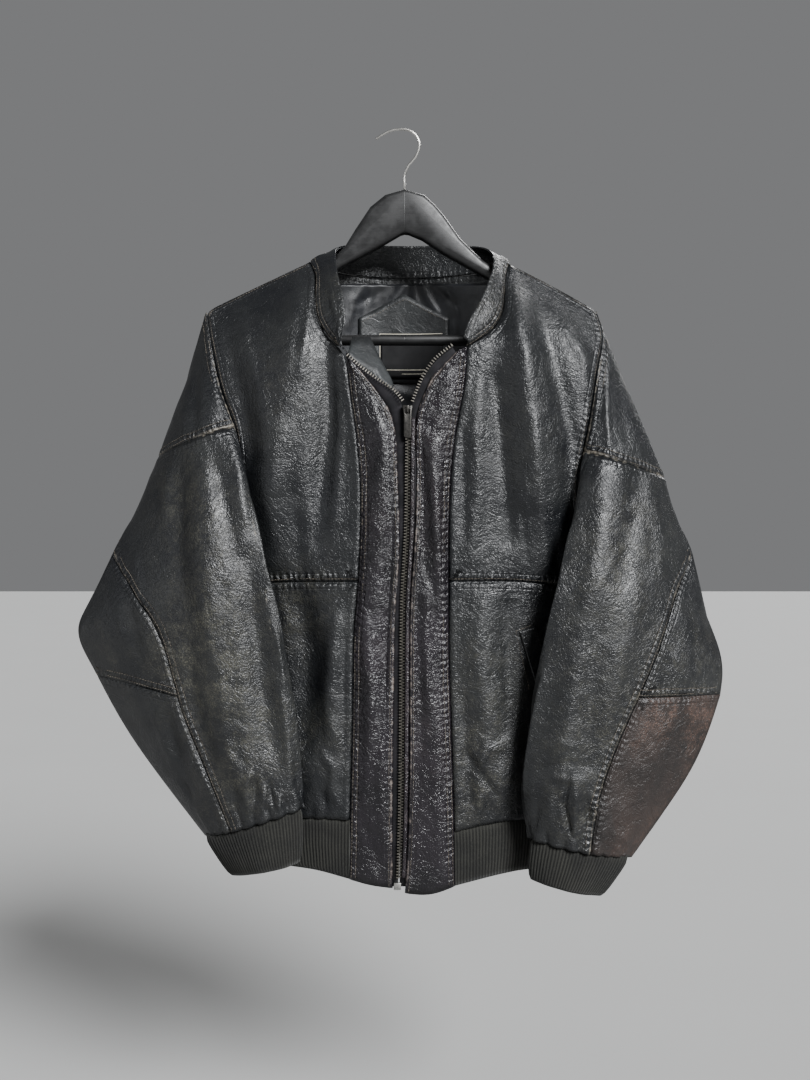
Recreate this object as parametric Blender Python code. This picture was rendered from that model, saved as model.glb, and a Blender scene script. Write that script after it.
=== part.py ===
# Worn black leather blouson on a wooden trouser-bar hanger.
# Lengths are millimetres up to the last step, which writes metres. +X is the viewer's right,
# -Y points at the viewer and +Z up. The origin is the inner crown of the hanger's hook.
import math

import bpy
import numpy as np
from mathutils import Vector
from mathutils.bvhtree import BVHTree
from mathutils.kdtree import KDTree

metre = 0.001

# Cloth walls, and how far each piece's edge is drawn back from its seam line
leatherWall = 2.0
collarWall = 2.6
liningWall = 1.0
patchWall = 1.2
labelWall = 0.5
tapeWall = 1.2
weltWall = 1.6
facingWall = 1.4
ribWall = 2.2
seamInset = 0.17
wideInset = 0.35
sideInset = 1.5
innerInset = 0.4
# How far a piece that lies on another stands off it
liningLift = 3.3
patchLift = 0.6
labelLift = 0.5
weltLift = 1.0
weltSlant = 5.0
tapeGap = 0.7
# Pieces inside the neck, across and down
liningAcross, liningDown = (-84.0, 102.0), (-156.0, -330.0)
patchAcross, patchDown, patchApex = (-46.0, 54.0), (-195.0, -266.0), -167.0
labelAcross, labelDown = (-23.0, 48.0), (-211.0, -262.0)
chestHeight = -484.0
ribClearance = 0.35
ribRaise = 0.8
cuffRibs = 30
waistRibPitch = 5.5

# Rows down the body, from the shoulder seam to the waist seam
bodyRows = 20
bandRow = 6
capRow = 8
underarmRow = 12
chestRow = 13
frontColumns = 7
neckColumns = 3
# Rows and columns of a sleeve
sleeveRows = 10
sleeveFrontColumns = 9
sleeveElbowColumns = 7
capRows = 4
underarmStation = 3.0
cuffStation = 8.0

# Section of a sleeve: where its named points lie round it, from underarm seam to underarm seam
sectionKnots = (0.0, 0.12, 0.27, 0.43, 0.55, 0.72, 1.0)
seamShare = 0.38
frontDepth = (20, 22, 24, 26, 26, 25, 24, 24, 20)
backDepth = (66, 72, 64, 46, 31, 26, 24, 24, 20)

centreBack = [(8, 50, -150), (7, 55, -220), (5, 57, -318), (4, 57, -455), (4, 57, -488),
              (3, 57, -650), (2, 50, -740)]
centreBackRows = (0, 4, 8, 12, 13, 18, 20)

left = {
    "name": "left",
    "shoulder": [(-98, 5, -141), (-151, 2, -167), (-209, -2, -196)],
    "neck": [(-98, 5, -141), (-91, -12, -159), (-90, -32, -184), (-88, -48, -209),
             (-76, -58, -232), (-55, -66, -250)],
    "bandSeam": [(-55, -66, -250), (-53, -68, -279), (-45, -71, -330), (-40, -73, -381),
                 (-40, -74, -431), (-42, -74, -482), (-46, -74, -523), (-48, -74, -617),
                 (-51, -72, -727)],
    "zipTop": [(-47, -67, -262), (-27, -70, -285), (-5, -74, -314)],
    "lip": [(-5, -74, -314), (-2, -78, -364), (0, -80, -431), (0, -80, -473), (-5, -80, -510),
            (-5, -80, -543), (-6, -79, -616), (-7, -76, -727)],
    "lipHem": (-7, -70, -797),
    "teeth": [(-53, -66, -253), (-37, -67, -267), (-22, -68, -278), (-6, -71, -289)],
    "armFront": [(-209, -2, -196), (-204, -14, -218), (-198, -26, -242), (-189, -38, -277),
                 (-181, -44, -301), (-171, -50, -324), (-170, -48, -398)],
    "armBack": [(-209, -2, -196), (-206, 14, -218), (-200, 28, -250), (-192, 38, -285),
                (-188, 41, -309), (-186, 43, -335), (-190, 40, -405)],
    "side": [(-206, -7, -491), (-207, 7, -570), (-196, 9, -680), (-165, -2, -734)],
    "backNeck": [(8, 50, -150), (-40, 44, -149), (-78, 26, -146), (-98, 5, -141)],
    "waistFront": [(-51, -72, -727), (-100, -62, -727), (-143, -40, -730), (-165, -2, -734)],
    "hemFront": [(-52, -66, -789), (-98, -56, -780), (-138, -36, -781), (-158, -2, -784)],
    "waistBack": [(2, 50, -740), (-90, 46, -738), (-146, 30, -736), (-165, -2, -734)],
    "hemBack": [(2, 44, -792), (-86, 40, -789), (-138, 26, -786), (-158, -2, -784)],
    "inner": [(-177, -57, -326), (-155, -70, -371), (-143, -80, -422), (-133, -84, -472),
              (-120, -86, -523), (-113, -86, -568), (-105, -84, -616), (-100, -80, -668),
              (-97, -76, -712)],
    "outer": [(-263, -8, -354), (-280, -12, -396), (-301, -17, -447), (-322, -22, -490),
              (-341, -27, -536), (-320, -33, -580), (-289, -43, -633), (-252, -54, -682),
              (-201, -66, -746)],
    "cuffInner": (-100, -76, -767),
    "cuffOuter": (-175, -66, -785),
    "elbowSeam": (0.70, 0.655, 0.58, 0.46, 0.385, 0.385, 0.395, 0.40, 0.43),
    "elbowSplit": 5.5,
    "elbowRise": -0.5,
    "pocket": [(-122, -530), (-140, -592)],
    "pocketWidth": -17,
    "hemSag": 1.0,
}

right = {
    "name": "right",
    "shoulder": [(118, 5, -143), (169, 2, -170), (211, -2, -195)],
    "neck": [(118, 5, -143), (112, -12, -162), (110, -32, -186), (107, -48, -210),
             (93, -58, -229), (69, -66, -244)],
    "bandSeam": [(69, -66, -244), (68, -68, -279), (57, -71, -330), (52, -73, -381),
                 (50, -74, -431), (50, -74, -486), (50, -74, -544), (52, -74, -617),
                 (56, -72, -739)],
    "zipTop": [(57, -68, -250), (32, -70, -276), (15, -74, -314)],
    "lip": [(15, -74, -314), (17, -78, -364), (16, -80, -431), (13, -80, -473), (10, -80, -515),
            (10, -80, -560), (10, -79, -635), (9, -76, -739)],
    "lipHem": (5, -70, -802),
    "teeth": [(53, -66, -243), (36, -67, -257), (24, -68, -274), (17, -71, -290)],
    "armFront": [(211, -2, -195), (217, -14, -218), (213, -26, -242), (205, -38, -274),
                 (199, -46, -310), (190, -52, -350), (188, -49, -418)],
    "armBack": [(211, -2, -195), (213, 14, -218), (208, 28, -250), (201, 38, -288),
                (198, 41, -318), (196, 43, -350), (201, 40, -420)],
    "side": [(219, -8, -499), (220, 7, -570), (208, 9, -688), (175, -2, -738)],
    "backNeck": [(8, 50, -150), (55, 44, -149), (96, 26, -147), (118, 5, -143)],
    "waistFront": [(56, -72, -739), (105, -61, -731), (152, -40, -733), (175, -2, -738)],
    "hemFront": [(57, -66, -796), (108, -56, -786), (147, -36, -786), (168, -2, -788)],
    "waistBack": [(2, 50, -740), (95, 46, -739), (155, 30, -738), (175, -2, -738)],
    "hemBack": [(2, 44, -792), (92, 40, -791), (148, 26, -789), (168, -2, -788)],
    "inner": [(196, -59, -353), (180, -70, -391), (168, -80, -442), (158, -86, -484),
              (146, -88, -540), (134, -88, -597), (126, -84, -654), (122, -80, -699),
              (131, -76, -743)],
    "outer": [(288, -8, -377), (297, -12, -410), (309, -17, -448), (319, -21, -490),
              (339, -27, -558), (337, -33, -604), (312, -43, -671), (274, -54, -722),
              (236, -66, -767)],
    "cuffInner": (130, -76, -784),
    "cuffOuter": (209, -66, -806),
    "elbowSeam": (0.70, 0.655, 0.58, 0.47, 0.40, 0.37, 0.35, 0.36, 0.385),
    "elbowSplit": 5.0,
    "elbowRise": 0.0,
    "pocket": [(123, -536), (141, -593)],
    "pocketWidth": 17,
    "hemSag": 5.0,
}

# Top edge of the collar, from its left front end round the back to its right front end
collarTop = [(-61, -70, -238), (-56, -67, -218), (-57, -60, -200), (-60, -50, -184),
             (-65, -35, -165), (-69, -15, -144), (-71, 4, -125), (-52, 36, -114), (5, 48, -113),
             (76, 38, -114), (100, 4, -127), (101, -15, -144), (97, -32, -160), (90, -46, -179),
             (81, -58, -197), (70, -67, -214), (65, -72, -236)]
collarTopColumns = (0, 1, 2, 3, 4, 5, 6, 7.4, 9, 10.6, 12, 13, 14, 15, 16, 17, 18)
collarRows = 3
collarBulge = 4.0

# Folds laid in the fronts: from, to, half width, height towards the viewer
folds = {
    "left": [((-100, -175), (-138, -400), 15, 9), ((-66, -260), (-72, -420), 15, -8),
             ((-60, -520), (-95, -690), 14, 6), ((-110, -520), (-92, -640), 14, -5)],
    "right": [((115, -175), (150, -400), 16, 9), ((92, -250), (92, -440), 16, -7),
              ((80, -300), (130, -470), 12, 5), ((90, -520), (110, -690), 14, 6)],
}
sleeveFolds = {
    "left": [((-195, -380), (-160, -700), 22, 6), ((-152, -430), (-128, -670), 12, -4),
             ((-262, -500), (-180, -560), 10, -4), ((-250, -560), (-190, -600), 9, 3)],
    "right": [((235, -400), (172, -700), 22, 6), ((190, -400), (150, -640), 12, -4),
              ((262, -330), (222, -352), 9, -4), ((290, -520), (230, -600), 10, 4)],
}
backFolds = [((-120, -260), (-60, -640), 24, 8), ((110, -260), (80, -640), 24, 8),
             ((-10, -420), (30, -680), 22, -6), ((-170, -380), (-130, -640), 16, -5),
             ((180, -400), (140, -650), 16, -5)]

# Hanger board, seen from the front: upper edge from left to right, then lower edge back
boardUpper = [(-203, -221), (-197, -212), (-151, -182), (-98, -159.5), (-80, -147), (-71, -138),
              (-59, -125), (-48, -107), (-32, -83), (-16, -70), (5, -64), (26, -70), (38, -81),
              (48, -93), (65, -117), (77, -129), (90, -141), (118, -159.5), (169, -185.5),
              (201, -212.5), (207, -221)]
boardLower = [(202, -238), (186, -238), (186, -215), (169, -209), (118, -181), (96, -162),
              (46, -134), (24, -119), (5, -111), (-24, -128), (-63, -149), (-98, -177),
              (-151, -205), (-182, -216), (-182, -238), (-197, -238)]
boardThick = 13.0
boardRound = 5.0
barZ = -226.5
barRadius = 5.8
barLeft = -181.5
barRight = 185.5
hookRoute = [(5, -64), (5, -48), (9, -38), (17, -28), (21, -16), (17, -5), (9, 0.4), (0, 1.35),
             (-11, -0.6), (-19, -4.5), (-26, -9)]
hookWire = 1.35

# Zip: the slider sits where the two rows of teeth meet
sliderCentre = (8.0, -312.0)
sliderSize = (10.0, 5.0, 13.0)
sliderFront = -77.8
bailWide = 2.0
bailWire = 1.2
bailHigh = 4.2
bailLong = 7.0
pullPivot = (8.0, -79.4, -309.5)
pullWide = 7.4
pullLong = 29.0
pullThick = 1.4
pullRail = 1.2
pullHole = 4.2
pullCorner = 1.5
pullBar = 0.7
boxCentre = (-2.3, -795.0)
boxSize = (7.4, 3.0, 7.0)
boxFront = -71.0

finishes = {
    "leather": ((0.018, 0.018, 0.017), 0.42, 0.0),
    "leather_band": ((0.020, 0.017, 0.018), 0.34, 0.0),
    "leather_brown": ((0.036, 0.024, 0.019), 0.50, 0.0),
    "rib_knit": ((0.030, 0.030, 0.026), 0.95, 0.0),
    "satin": ((0.014, 0.014, 0.015), 0.35, 0.0),
    "label_cloth": ((0.012, 0.012, 0.012), 0.60, 0.0),
    "zip_tape": ((0.012, 0.012, 0.013), 0.80, 0.0),
    "zip_metal": ((0.30, 0.29, 0.27), 0.35, 1.0),
    "painted_wood": ((0.012, 0.012, 0.012), 0.45, 0.0),
    "steel": ((0.55, 0.55, 0.53), 0.25, 1.0),
}


def spline(knots, points):
    # A smooth curve through the points, each at its knot
    knot = np.array(knots, float)
    point = np.array(points, float)
    step = np.diff(knot)
    slope = np.diff(point, axis=0) / step[:, None]
    tangent = np.empty_like(point)
    tangent[0], tangent[-1] = slope[0], slope[-1]
    weight = (step[:-1] + step[1:])[:, None]
    tangent[1:-1] = (slope[:-1] * step[1:, None] + slope[1:] * step[:-1, None]) / weight

    def at(t):
        i = int(np.clip(np.searchsorted(knot, t) - 1, 0, len(step) - 1))
        s = (t - knot[i]) / step[i]
        lead = (2 * s**3 - 3 * s**2 + 1) * point[i] + (s**3 - 2 * s**2 + s) * step[i] * tangent[i]
        tail = (3 * s**2 - 2 * s**3) * point[i + 1] + (s**3 - s**2) * step[i] * tangent[i + 1]
        return lead + tail

    return at


def chordKnots(points):
    # Knots from 0 to 1 in step with the distance along the points
    lengths = np.linalg.norm(np.diff(np.array(points, float), axis=0), axis=1)
    run = np.concatenate([[0.0], np.cumsum(lengths)])
    return run / run[-1]


def through(points):
    return spline(chordKnots(points), points)


def byHeight(points):
    # A curve read by its height
    return spline([-p[2] for p in points], points)


def mix(a, b, t):
    return np.asarray(a) * (1 - t) + np.asarray(b) * t


def ramp(values):
    # A number that runs through the given values at stations 0, 1, 2 ...
    curve = spline(range(len(values)), [(v,) for v in values])
    return lambda t: float(curve(t)[0])


def sleeveSpine(side, t):
    # Inner fold, outer fold and the two half depths of the sleeve at station t
    inner = side["innerCurve"](t)
    outer = side["outerCurve"](t)
    return inner, outer, side["frontDepth"](t), side["backDepth"](t)


def underarmSeam(side, t):
    inner, outer, _, back = sleeveSpine(side, t)
    return mix(inner, outer, seamShare) + np.array((0, 0.97 * back, 0))


def armRow(t):
    # The body row that meets sleeve station t, above the underarm
    return capRow + t * (underarmRow - capRow) / underarmStation


def section(inner, outer, front, back, start, end):
    points = [start, inner,
              mix(inner, outer, 0.25) - (0, front, 0),
              mix(inner, outer, 0.70) - (0, 0.9 * front, 0),
              outer,
              mix(inner, outer, 0.72) + (0, 0.85 * back, 0),
              end]
    return spline(sectionKnots, points)


def sleevePoint(side, c, t):
    inner, outer, front, back = sleeveSpine(side, t)
    if t < underarmStation:
        start, end = side["armFrontCurve"](armRow(t)), side["armBackCurve"](armRow(t))
    else:
        start = end = underarmSeam(side, t)
    return section(inner, outer, front, back, start, end)(c)


def prepare(side):
    # Curves of one side of the coat, all read by row or by station
    stations = range(len(side["inner"]))
    side["innerCurve"] = spline(stations, side["inner"])
    side["outerCurve"] = spline(stations, side["outer"])
    side["frontDepth"] = ramp(frontDepth)
    side["backDepth"] = ramp(backDepth)
    side["elbowCurve"] = ramp(side["elbowSeam"])
    underarm = underarmSeam(side, underarmStation)
    armRows = (0, 1.6, 3.2, 5.3, 6.6, capRow, 10.2, underarmRow)
    side["armFrontCurve"] = spline(armRows, side["armFront"] + [underarm])
    side["armBackCurve"] = spline(armRows, side["armBack"] + [underarm])
    side["sideCurve"] = spline((underarmRow, chestRow, 15, 18, bodyRows), [underarm] + side["side"])
    side["shoulderCurve"] = through(side["shoulder"])
    side["neckCurve"] = through(side["neck"])
    side["seamCurve"] = byHeight(side["bandSeam"])
    side["lipCurve"] = byHeight(side["lip"])
    side["backNeckCurve"] = through(side["backNeck"])
    for key in ("waistFront", "hemFront", "waistBack", "hemBack"):
        side[key + "Curve"] = through(side[key])


def seamHeight(side, row):
    # Height of a body row where it meets the band seam
    top, bottom = side["bandSeam"][0][2], side["bandSeam"][-1][2]
    if row <= chestRow:
        return mix(top, chestHeight, (row - bandRow) / (chestRow - bandRow))
    return mix(chestHeight, bottom, (row - chestRow) / (bodyRows - chestRow))


def frontInner(side, row):
    if row <= bandRow:
        return side["neckCurve"](row / bandRow)
    return side["seamCurve"](-seamHeight(side, row))


def outerEdge(side, row, arm):
    if row <= underarmRow:
        return side[arm](row)
    return side["sideCurve"](row)


def foldLift(x, z, marks):
    # How far the laid folds stand out at this place
    lift = 0.0
    for (x0, z0), (x1, z1), wide, high in marks:
        run = Vector((x1 - x0, z1 - z0))
        along = ((x - x0) * run.x + (z - z0) * run.y) / run.length_squared
        across = abs((x - x0) * run.y - (z - z0) * run.x) / run.length
        fade = math.exp(-max(0.0, abs(along - 0.5) - 0.4) ** 2 / 0.02)
        lift += high * fade * math.exp(-(across / wide) ** 2)
    return lift


def coons(top, bottom, inner, outer, us, vs, lean):
    # A grid between four edges; lean holds the depth near the inner edge's
    corner = (top(0.0), top(1.0), bottom(0.0), bottom(1.0))
    rows = []
    for v in vs:
        line = []
        for u in us:
            w = np.array((u, u ** lean, u))
            across = (1 - w) * inner(v) + w * outer(v)
            down = (1 - v) * top(u) + v * bottom(u)
            flat = (1 - v) * ((1 - w) * corner[0] + w * corner[1])
            flat = flat + v * ((1 - w) * corner[2] + w * corner[3])
            line.append(across + down - flat)
        rows.append(line)
    return np.array(rows)


def bubble(u, v):
    # Zero at a panel's edges, one inside it
    return min(1.0, 4 * math.sin(math.pi * u) ** 1.5 * min(1.0, 3 * math.sin(math.pi * v)))


def puff(v):
    # The cloth blouses over the tight waistband
    return math.exp(-((v - 0.925) / 0.05) ** 2)


def frontGrid(side):
    us = [j / frontColumns for j in range(frontColumns + 1)]
    vs = [i / bodyRows for i in range(bodyRows + 1)]
    grid = coons(side["shoulderCurve"], side["waistFrontCurve"],
                 lambda v: frontInner(side, v * bodyRows),
                 lambda v: outerEdge(side, v * bodyRows, "armFrontCurve"), us, vs, 2.0)
    for i, v in enumerate(vs):
        for j, u in enumerate(us):
            x, _, z = grid[i, j]
            lift = foldLift(x, z, folds[side["name"]]) + 7 * puff(v)
            grid[i, j, 1] -= lift * bubble(u, v)
    return grid


def backGrid(side):
    neckShare = neckColumns / (neckColumns + frontColumns)
    count = neckColumns + frontColumns
    us = [j / count for j in range(count + 1)]
    vs = [i / bodyRows for i in range(bodyRows + 1)]
    spine = spline(centreBackRows, centreBack)

    def top(u):
        if u <= neckShare + 1e-9:
            return side["backNeckCurve"](u / neckShare)
        return side["shoulderCurve"]((u - neckShare) / (1 - neckShare))

    grid = coons(top, side["waistBackCurve"], lambda v: spine(v * bodyRows),
                 lambda v: outerEdge(side, v * bodyRows, "armBackCurve"), us, vs, 2.4)
    for i, v in enumerate(vs):
        for j, u in enumerate(us):
            x, _, z = grid[i, j]
            edge = bubble(0.5 + u / 2, v)
            grid[i, j, 1] += (foldLift(x, z, backFolds) + 8 * puff(v)) * edge
    return grid


def bandGrid(side):
    columns = 3
    rows = []
    for row in range(bandRow, bodyRows + 2):
        if row > bodyRows:
            seam, lip = side["hemFront"][0], side["lipHem"]
        else:
            seam = frontInner(side, row)
            top = row - bandRow
            lip = side["zipTop"][top] if top < 3 else side["lipCurve"](-seam[2])
        line = []
        for j in range(columns + 1):
            u = j / columns
            sag = side["hemSag"] if row > bodyRows else 0.0
            rise = math.sin(math.pi * u)
            line.append(mix(seam, lip, u) - np.array((0, 3.0 * rise, sag * rise)))
        rows.append(line)
    return np.array(rows)


def sleeveStations():
    # Stations down a sleeve: those of the body rows above the underarm, then even ones
    above = [underarmStation * i / (underarmRow - capRow) for i in range(underarmRow - capRow)]
    below = [mix(underarmStation, cuffStation, i / sleeveRows) for i in range(sleeveRows + 1)]
    return above + [float(t) for t in below]


def gather(t, j):
    # Small puckers where the sleeve is drawn into its cuff
    depth = math.exp(-(cuffStation - 0.5 - t) ** 2 / 0.25)
    return 2.2 * depth * (1 if j % 2 else -1)


def sleeveGrids(side):
    stations = sleeveStations()
    front, elbow = [], []
    split = side["elbowSplit"]
    for t in stations:
        seam = side["elbowCurve"](t)
        line = []
        for j in range(sleeveFrontColumns + 1):
            point = sleevePoint(side, seam * j / sleeveFrontColumns, t)
            if 0 < j < sleeveFrontColumns and 0 < t < cuffStation:
                edge = math.sin(math.pi * j / sleeveFrontColumns)
                lift = foldLift(point[0], point[2], sleeveFolds[side["name"]]) * edge
                point = point - (0, gather(t, j) + lift, 0)
            line.append(point)
        front.append(line)
        line = []
        for j in range(sleeveElbowColumns + 1):
            q = j / sleeveElbowColumns
            near = max(0.0, 1 - abs(t - split) / 2.0)
            shift = side["elbowRise"] * near * math.sin(math.pi * q) ** 0.7 if 0 < q < 1 else 0.0
            point = sleevePoint(side, mix(seam, 1.0, q), t + shift)
            line.append(point)
        elbow.append(line)
    return np.array(front), np.array(elbow)


def capGrid(side, capSeam):
    # The cap lies between the armhole, over the shoulder's tip, and the cap seam
    loop = [side["armFrontCurve"](capRow - i) for i in range(capRow)]
    loop += [side["armBackCurve"](i) for i in range(capRow + 1)]
    count = len(loop) - 1
    rows = []
    for i in range(capRows + 1):
        v = i / capRows
        line = []
        for j in range(count + 1):
            point = mix(loop[j], capSeam[j], v)
            swell = math.sin(math.pi * v) * math.sin(math.pi * j / count)
            outward = -1 if j < count / 2 else 1
            point = point + np.array((0, outward * 5 * swell * abs(math.cos(math.pi * j / count)), 0))
            line.append(point)
        rows.append(line)
    grid = np.array(rows)
    # The cap's two sharp ends are cut blunt
    grid[:, 0] = mix(grid[:, 0], grid[:, 1], 0.14)
    grid[:, -1] = mix(grid[:, -1], grid[:, -2], 0.14)
    return grid


def ringGrid(points, rows):
    # Rows of a ribbed band between two closed or open lines of equal length
    top, bottom = points
    return np.array([mix(top, bottom, i / rows) for i in range(rows + 1)])


def evenLine(curve, count, samples=400):
    # Points at even distances along a curve read from 0 to 1
    fine = np.array([curve(i / samples) for i in range(samples + 1)])
    run = np.concatenate([[0.0], np.cumsum(np.linalg.norm(np.diff(fine, axis=0), axis=1))])
    wanted = np.linspace(0, run[-1], count + 1)
    return np.stack([np.interp(wanted, run, fine[:, k]) for k in range(3)], axis=1)


def cuffLines(side):
    inner, outer, front, back = sleeveSpine(side, cuffStation)
    start = underarmSeam(side, cuffStation)
    top = section(inner, outer, front - 1, back - 1, start, start)
    inner, outer = np.array(side["cuffInner"], float), np.array(side["cuffOuter"], float)
    start = mix(inner, outer, seamShare) + np.array((0, 0.97 * (back - 3), 0))
    bottom = section(inner, outer, front - 2, back - 3, start, start)
    columns = 2 * cuffRibs
    down = np.array((0, 0, ribClearance))
    return evenLine(top, columns)[:-1] - down, evenLine(bottom, columns)[:-1]


def waistLines():
    # The waistband runs from the left band round the back to the right band
    tops, bottoms = [], []
    for side, key, flip in ((left, "Front", False), (left, "Back", True),
                            (right, "Back", False), (right, "Front", True)):
        curve = side["waist" + key + "Curve"]
        length = np.linalg.norm(np.diff(evenLine(curve, 20), axis=0), axis=1).sum()
        count = 2 * round(length / waistRibPitch)
        top, bottom = evenLine(curve, count), evenLine(side["hem" + key + "Curve"], count)
        if flip:
            top, bottom = top[::-1], bottom[::-1]
        tops.append(top if not tops else top[1:])
        bottoms.append(bottom if not bottoms else bottom[1:])
    down = np.array((0, 0, ribClearance))
    return np.concatenate(tops) - down, np.concatenate(bottoms)


def gridTriangles(rows, columns, closed):
    # Two triangles for each cell, always cut along the same diagonal
    width = columns if closed else columns + 1
    faces = []
    for i in range(rows):
        for j in range(columns):
            a, b = i * width + j, i * width + (j + 1) % width
            c, d = b + width, a + width
            faces += [(a, b, c), (a, c, d)]
    return faces


def vertexNormals(grid, closed, inside):
    rows, columns = grid.shape[0] - 1, grid.shape[1] - (0 if closed else 1)
    flat = grid.reshape(-1, 3)
    faces = np.array(gridTriangles(rows, columns, closed))
    cross = np.cross(flat[faces[:, 1]] - flat[faces[:, 0]], flat[faces[:, 2]] - flat[faces[:, 0]])
    normals = np.zeros_like(flat)
    for k in range(3):
        np.add.at(normals, faces[:, k], cross)
    sign = 1.0
    if np.einsum("ij,ij->i", normals, flat - np.array(inside, float)).sum() < 0:
        sign = -1.0
    return normals.reshape(grid.shape) * sign, sign


def unit(vectors):
    return vectors / np.maximum(np.linalg.norm(vectors, axis=-1, keepdims=True), 1e-9)


def shiftEdge(moved, grid, normals, edge, beside, amount):
    # Moves one edge of a piece off the plane in which two walls meet at the seam
    line, inner, up = grid[edge], grid[beside], normals[edge]
    tangent = unit(np.gradient(line, axis=0))
    across = unit(np.cross(tangent, unit(up)))
    side = np.sign(np.einsum("ij,ij->i", across, inner - line))[:, None]
    moved[edge] += across * side * amount


def drawBack(grid, normals, closed, amount):
    # Moves each edge of a piece back from its seam
    moved = grid.copy()
    everything = slice(None)
    shiftEdge(moved, grid, normals, (0, everything), (1, everything), amount[0])
    shiftEdge(moved, grid, normals, (-1, everything), (-2, everything), amount[1])
    if not closed:
        shiftEdge(moved, grid, normals, (everything, 0), (everything, 1), amount[2])
        shiftEdge(moved, grid, normals, (everything, -1), (everything, -2), amount[3])
    return moved


class Panel:
    # One cut piece: its outer points in rows, and the wall inwards from them
    def __init__(self, name, grid, inside, finish, wall=leatherWall, closed=False,
                 inset=(seamInset,) * 4):
        self.name, self.grid, self.finish, self.wall = name, grid, finish, wall
        self.closed, self.inset = closed, inset
        self.raised = None
        self.normals, self.sign = vertexNormals(grid, closed, inside)

    def outer(self):
        return self.drawn(0.0)

    def drawn(self, more):
        amounts = [amount + more for amount in self.inset]
        return drawBack(self.grid, self.normals, self.closed, amounts)

    def solid(self):
        base = self.outer()
        rows, width = base.shape[0], base.shape[1]
        columns = width if self.closed else width - 1
        skin = base if self.raised is None else base + unit(self.normals) * self.raised
        inner = self.drawn(innerInset) - unit(self.normals) * self.wall
        points = np.concatenate([skin.reshape(-1, 3), inner.reshape(-1, 3)])
        count = rows * width
        cells = gridTriangles(rows - 1, columns, self.closed)
        faces = [f if self.sign > 0 else f[::-1] for f in cells]
        faces += [tuple(count + k for k in (f[::-1] if self.sign > 0 else f)) for f in cells]
        rims = []
        last = (rows - 1) * width
        rims += [((j + 1) % width, j) for j in range(columns)]
        rims += [(last + j, last + (j + 1) % width) for j in range(columns)]
        if not self.closed:
            rims += [(i * width, (i + 1) * width) for i in range(rows - 1)]
            rims += [((i + 1) * width + width - 1, i * width + width - 1) for i in range(rows - 1)]
        for a, b in rims:
            quad = (a, b, b + count, a + count)
            if self.sign < 0:
                quad = quad[::-1]
            faces += [(quad[0], quad[1], quad[2]), (quad[0], quad[2], quad[3])]
        return points, faces


def shareNormals(panels):
    # Pieces that meet at a seam take one direction there, so their walls meet in a mitre
    total = sum(p.grid.shape[0] * p.grid.shape[1] for p in panels)
    tree = KDTree(total)
    normals = np.concatenate([unit(p.normals).reshape(-1, 3) for p in panels])
    points = np.concatenate([p.grid.reshape(-1, 3) for p in panels])
    for i, point in enumerate(points):
        tree.insert(point, i)
    tree.balance()
    start = 0
    for panel in panels:
        size = panel.grid.shape[0] * panel.grid.shape[1]
        shared = np.array([sum(normals[k] for _, k, _ in tree.find_range(points[i], 0.05))
                           for i in range(start, start + size)])
        panel.shared = shared.reshape(panel.grid.shape)
        start += size
    for panel in panels:
        panel.normals = panel.shared


def makeMaterial(name):
    colour, roughness, metallic = finishes[name]
    material = bpy.data.materials.new(name)
    material.use_nodes = True
    shader = material.node_tree.nodes["Principled BSDF"]
    shader.inputs["Base Color"].default_value = (*colour, 1.0)
    shader.inputs["Roughness"].default_value = roughness
    shader.inputs["Metallic"].default_value = metallic
    return material


def addObject(name, points, faces, finish, origin=(0, 0, 0), smooth=False):
    # Points are millimetres in the part's frame; origin becomes the object's location
    place = np.array(origin, float)
    mesh = bpy.data.meshes.new(name)
    mesh.from_pydata([tuple((np.array(p) - place) * metre) for p in points], [], faces)
    if smooth:
        mesh.shade_smooth()
        mesh.set_sharp_from_angle(angle=math.radians(40))
    thing = bpy.data.objects.new(name, mesh)
    thing.location = tuple(place * metre)
    thing.data.materials.append(materials[finish])
    bpy.context.collection.objects.link(thing)
    return thing


def plate(name, outline, near, far, finish, rounded=0.0, origin=(0, 0, 0)):
    # A flat plate cut to an outline in X and Z, between two depths
    count = len(outline)
    points = [(x, near, z) for x, z in outline] + [(x, far, z) for x, z in outline]
    faces = [tuple(range(count)), tuple(range(2 * count - 1, count - 1, -1))]
    faces += [(i, i + count, (i + 1) % count + count, (i + 1) % count) for i in range(count)]
    area = sum(outline[i - 1][0] * outline[i][1] - outline[i][0] * outline[i - 1][1]
               for i in range(count))
    if area < 0:
        faces = [f[::-1] for f in faces]
    thing = addObject(name, points, faces, finish, origin)
    if rounded > 0:
        bevel = thing.modifiers.new("rounded", "BEVEL")
        bevel.width = rounded * metre
        bevel.segments = 2
        bevel.limit_method = "ANGLE"
        bevel.angle_limit = math.radians(50)
    return thing


def depthOn(panel, rayFrom):
    # A reader of the depth of a piece's surface at a place in X and Z
    points, faces = panel.solid()
    tree = BVHTree.FromPolygons([tuple(p) for p in points], faces)
    direction = Vector((0, 1, 0))

    def at(x, z):
        hit = tree.ray_cast(Vector((x, rayFrom, z)), direction)
        return hit[0].y

    return at


def laidGrid(columns, rows, outline, depth, lift):
    # Points on a surface: outline(u, v) gives X and Z, and lift brings them off it
    grid = []
    for i in range(rows + 1):
        line = []
        for j in range(columns + 1):
            x, z = outline(j / columns, i / rows)
            line.append((x, depth(x, z) - lift, z))
        grid.append(line)
    return np.array(grid)


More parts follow.
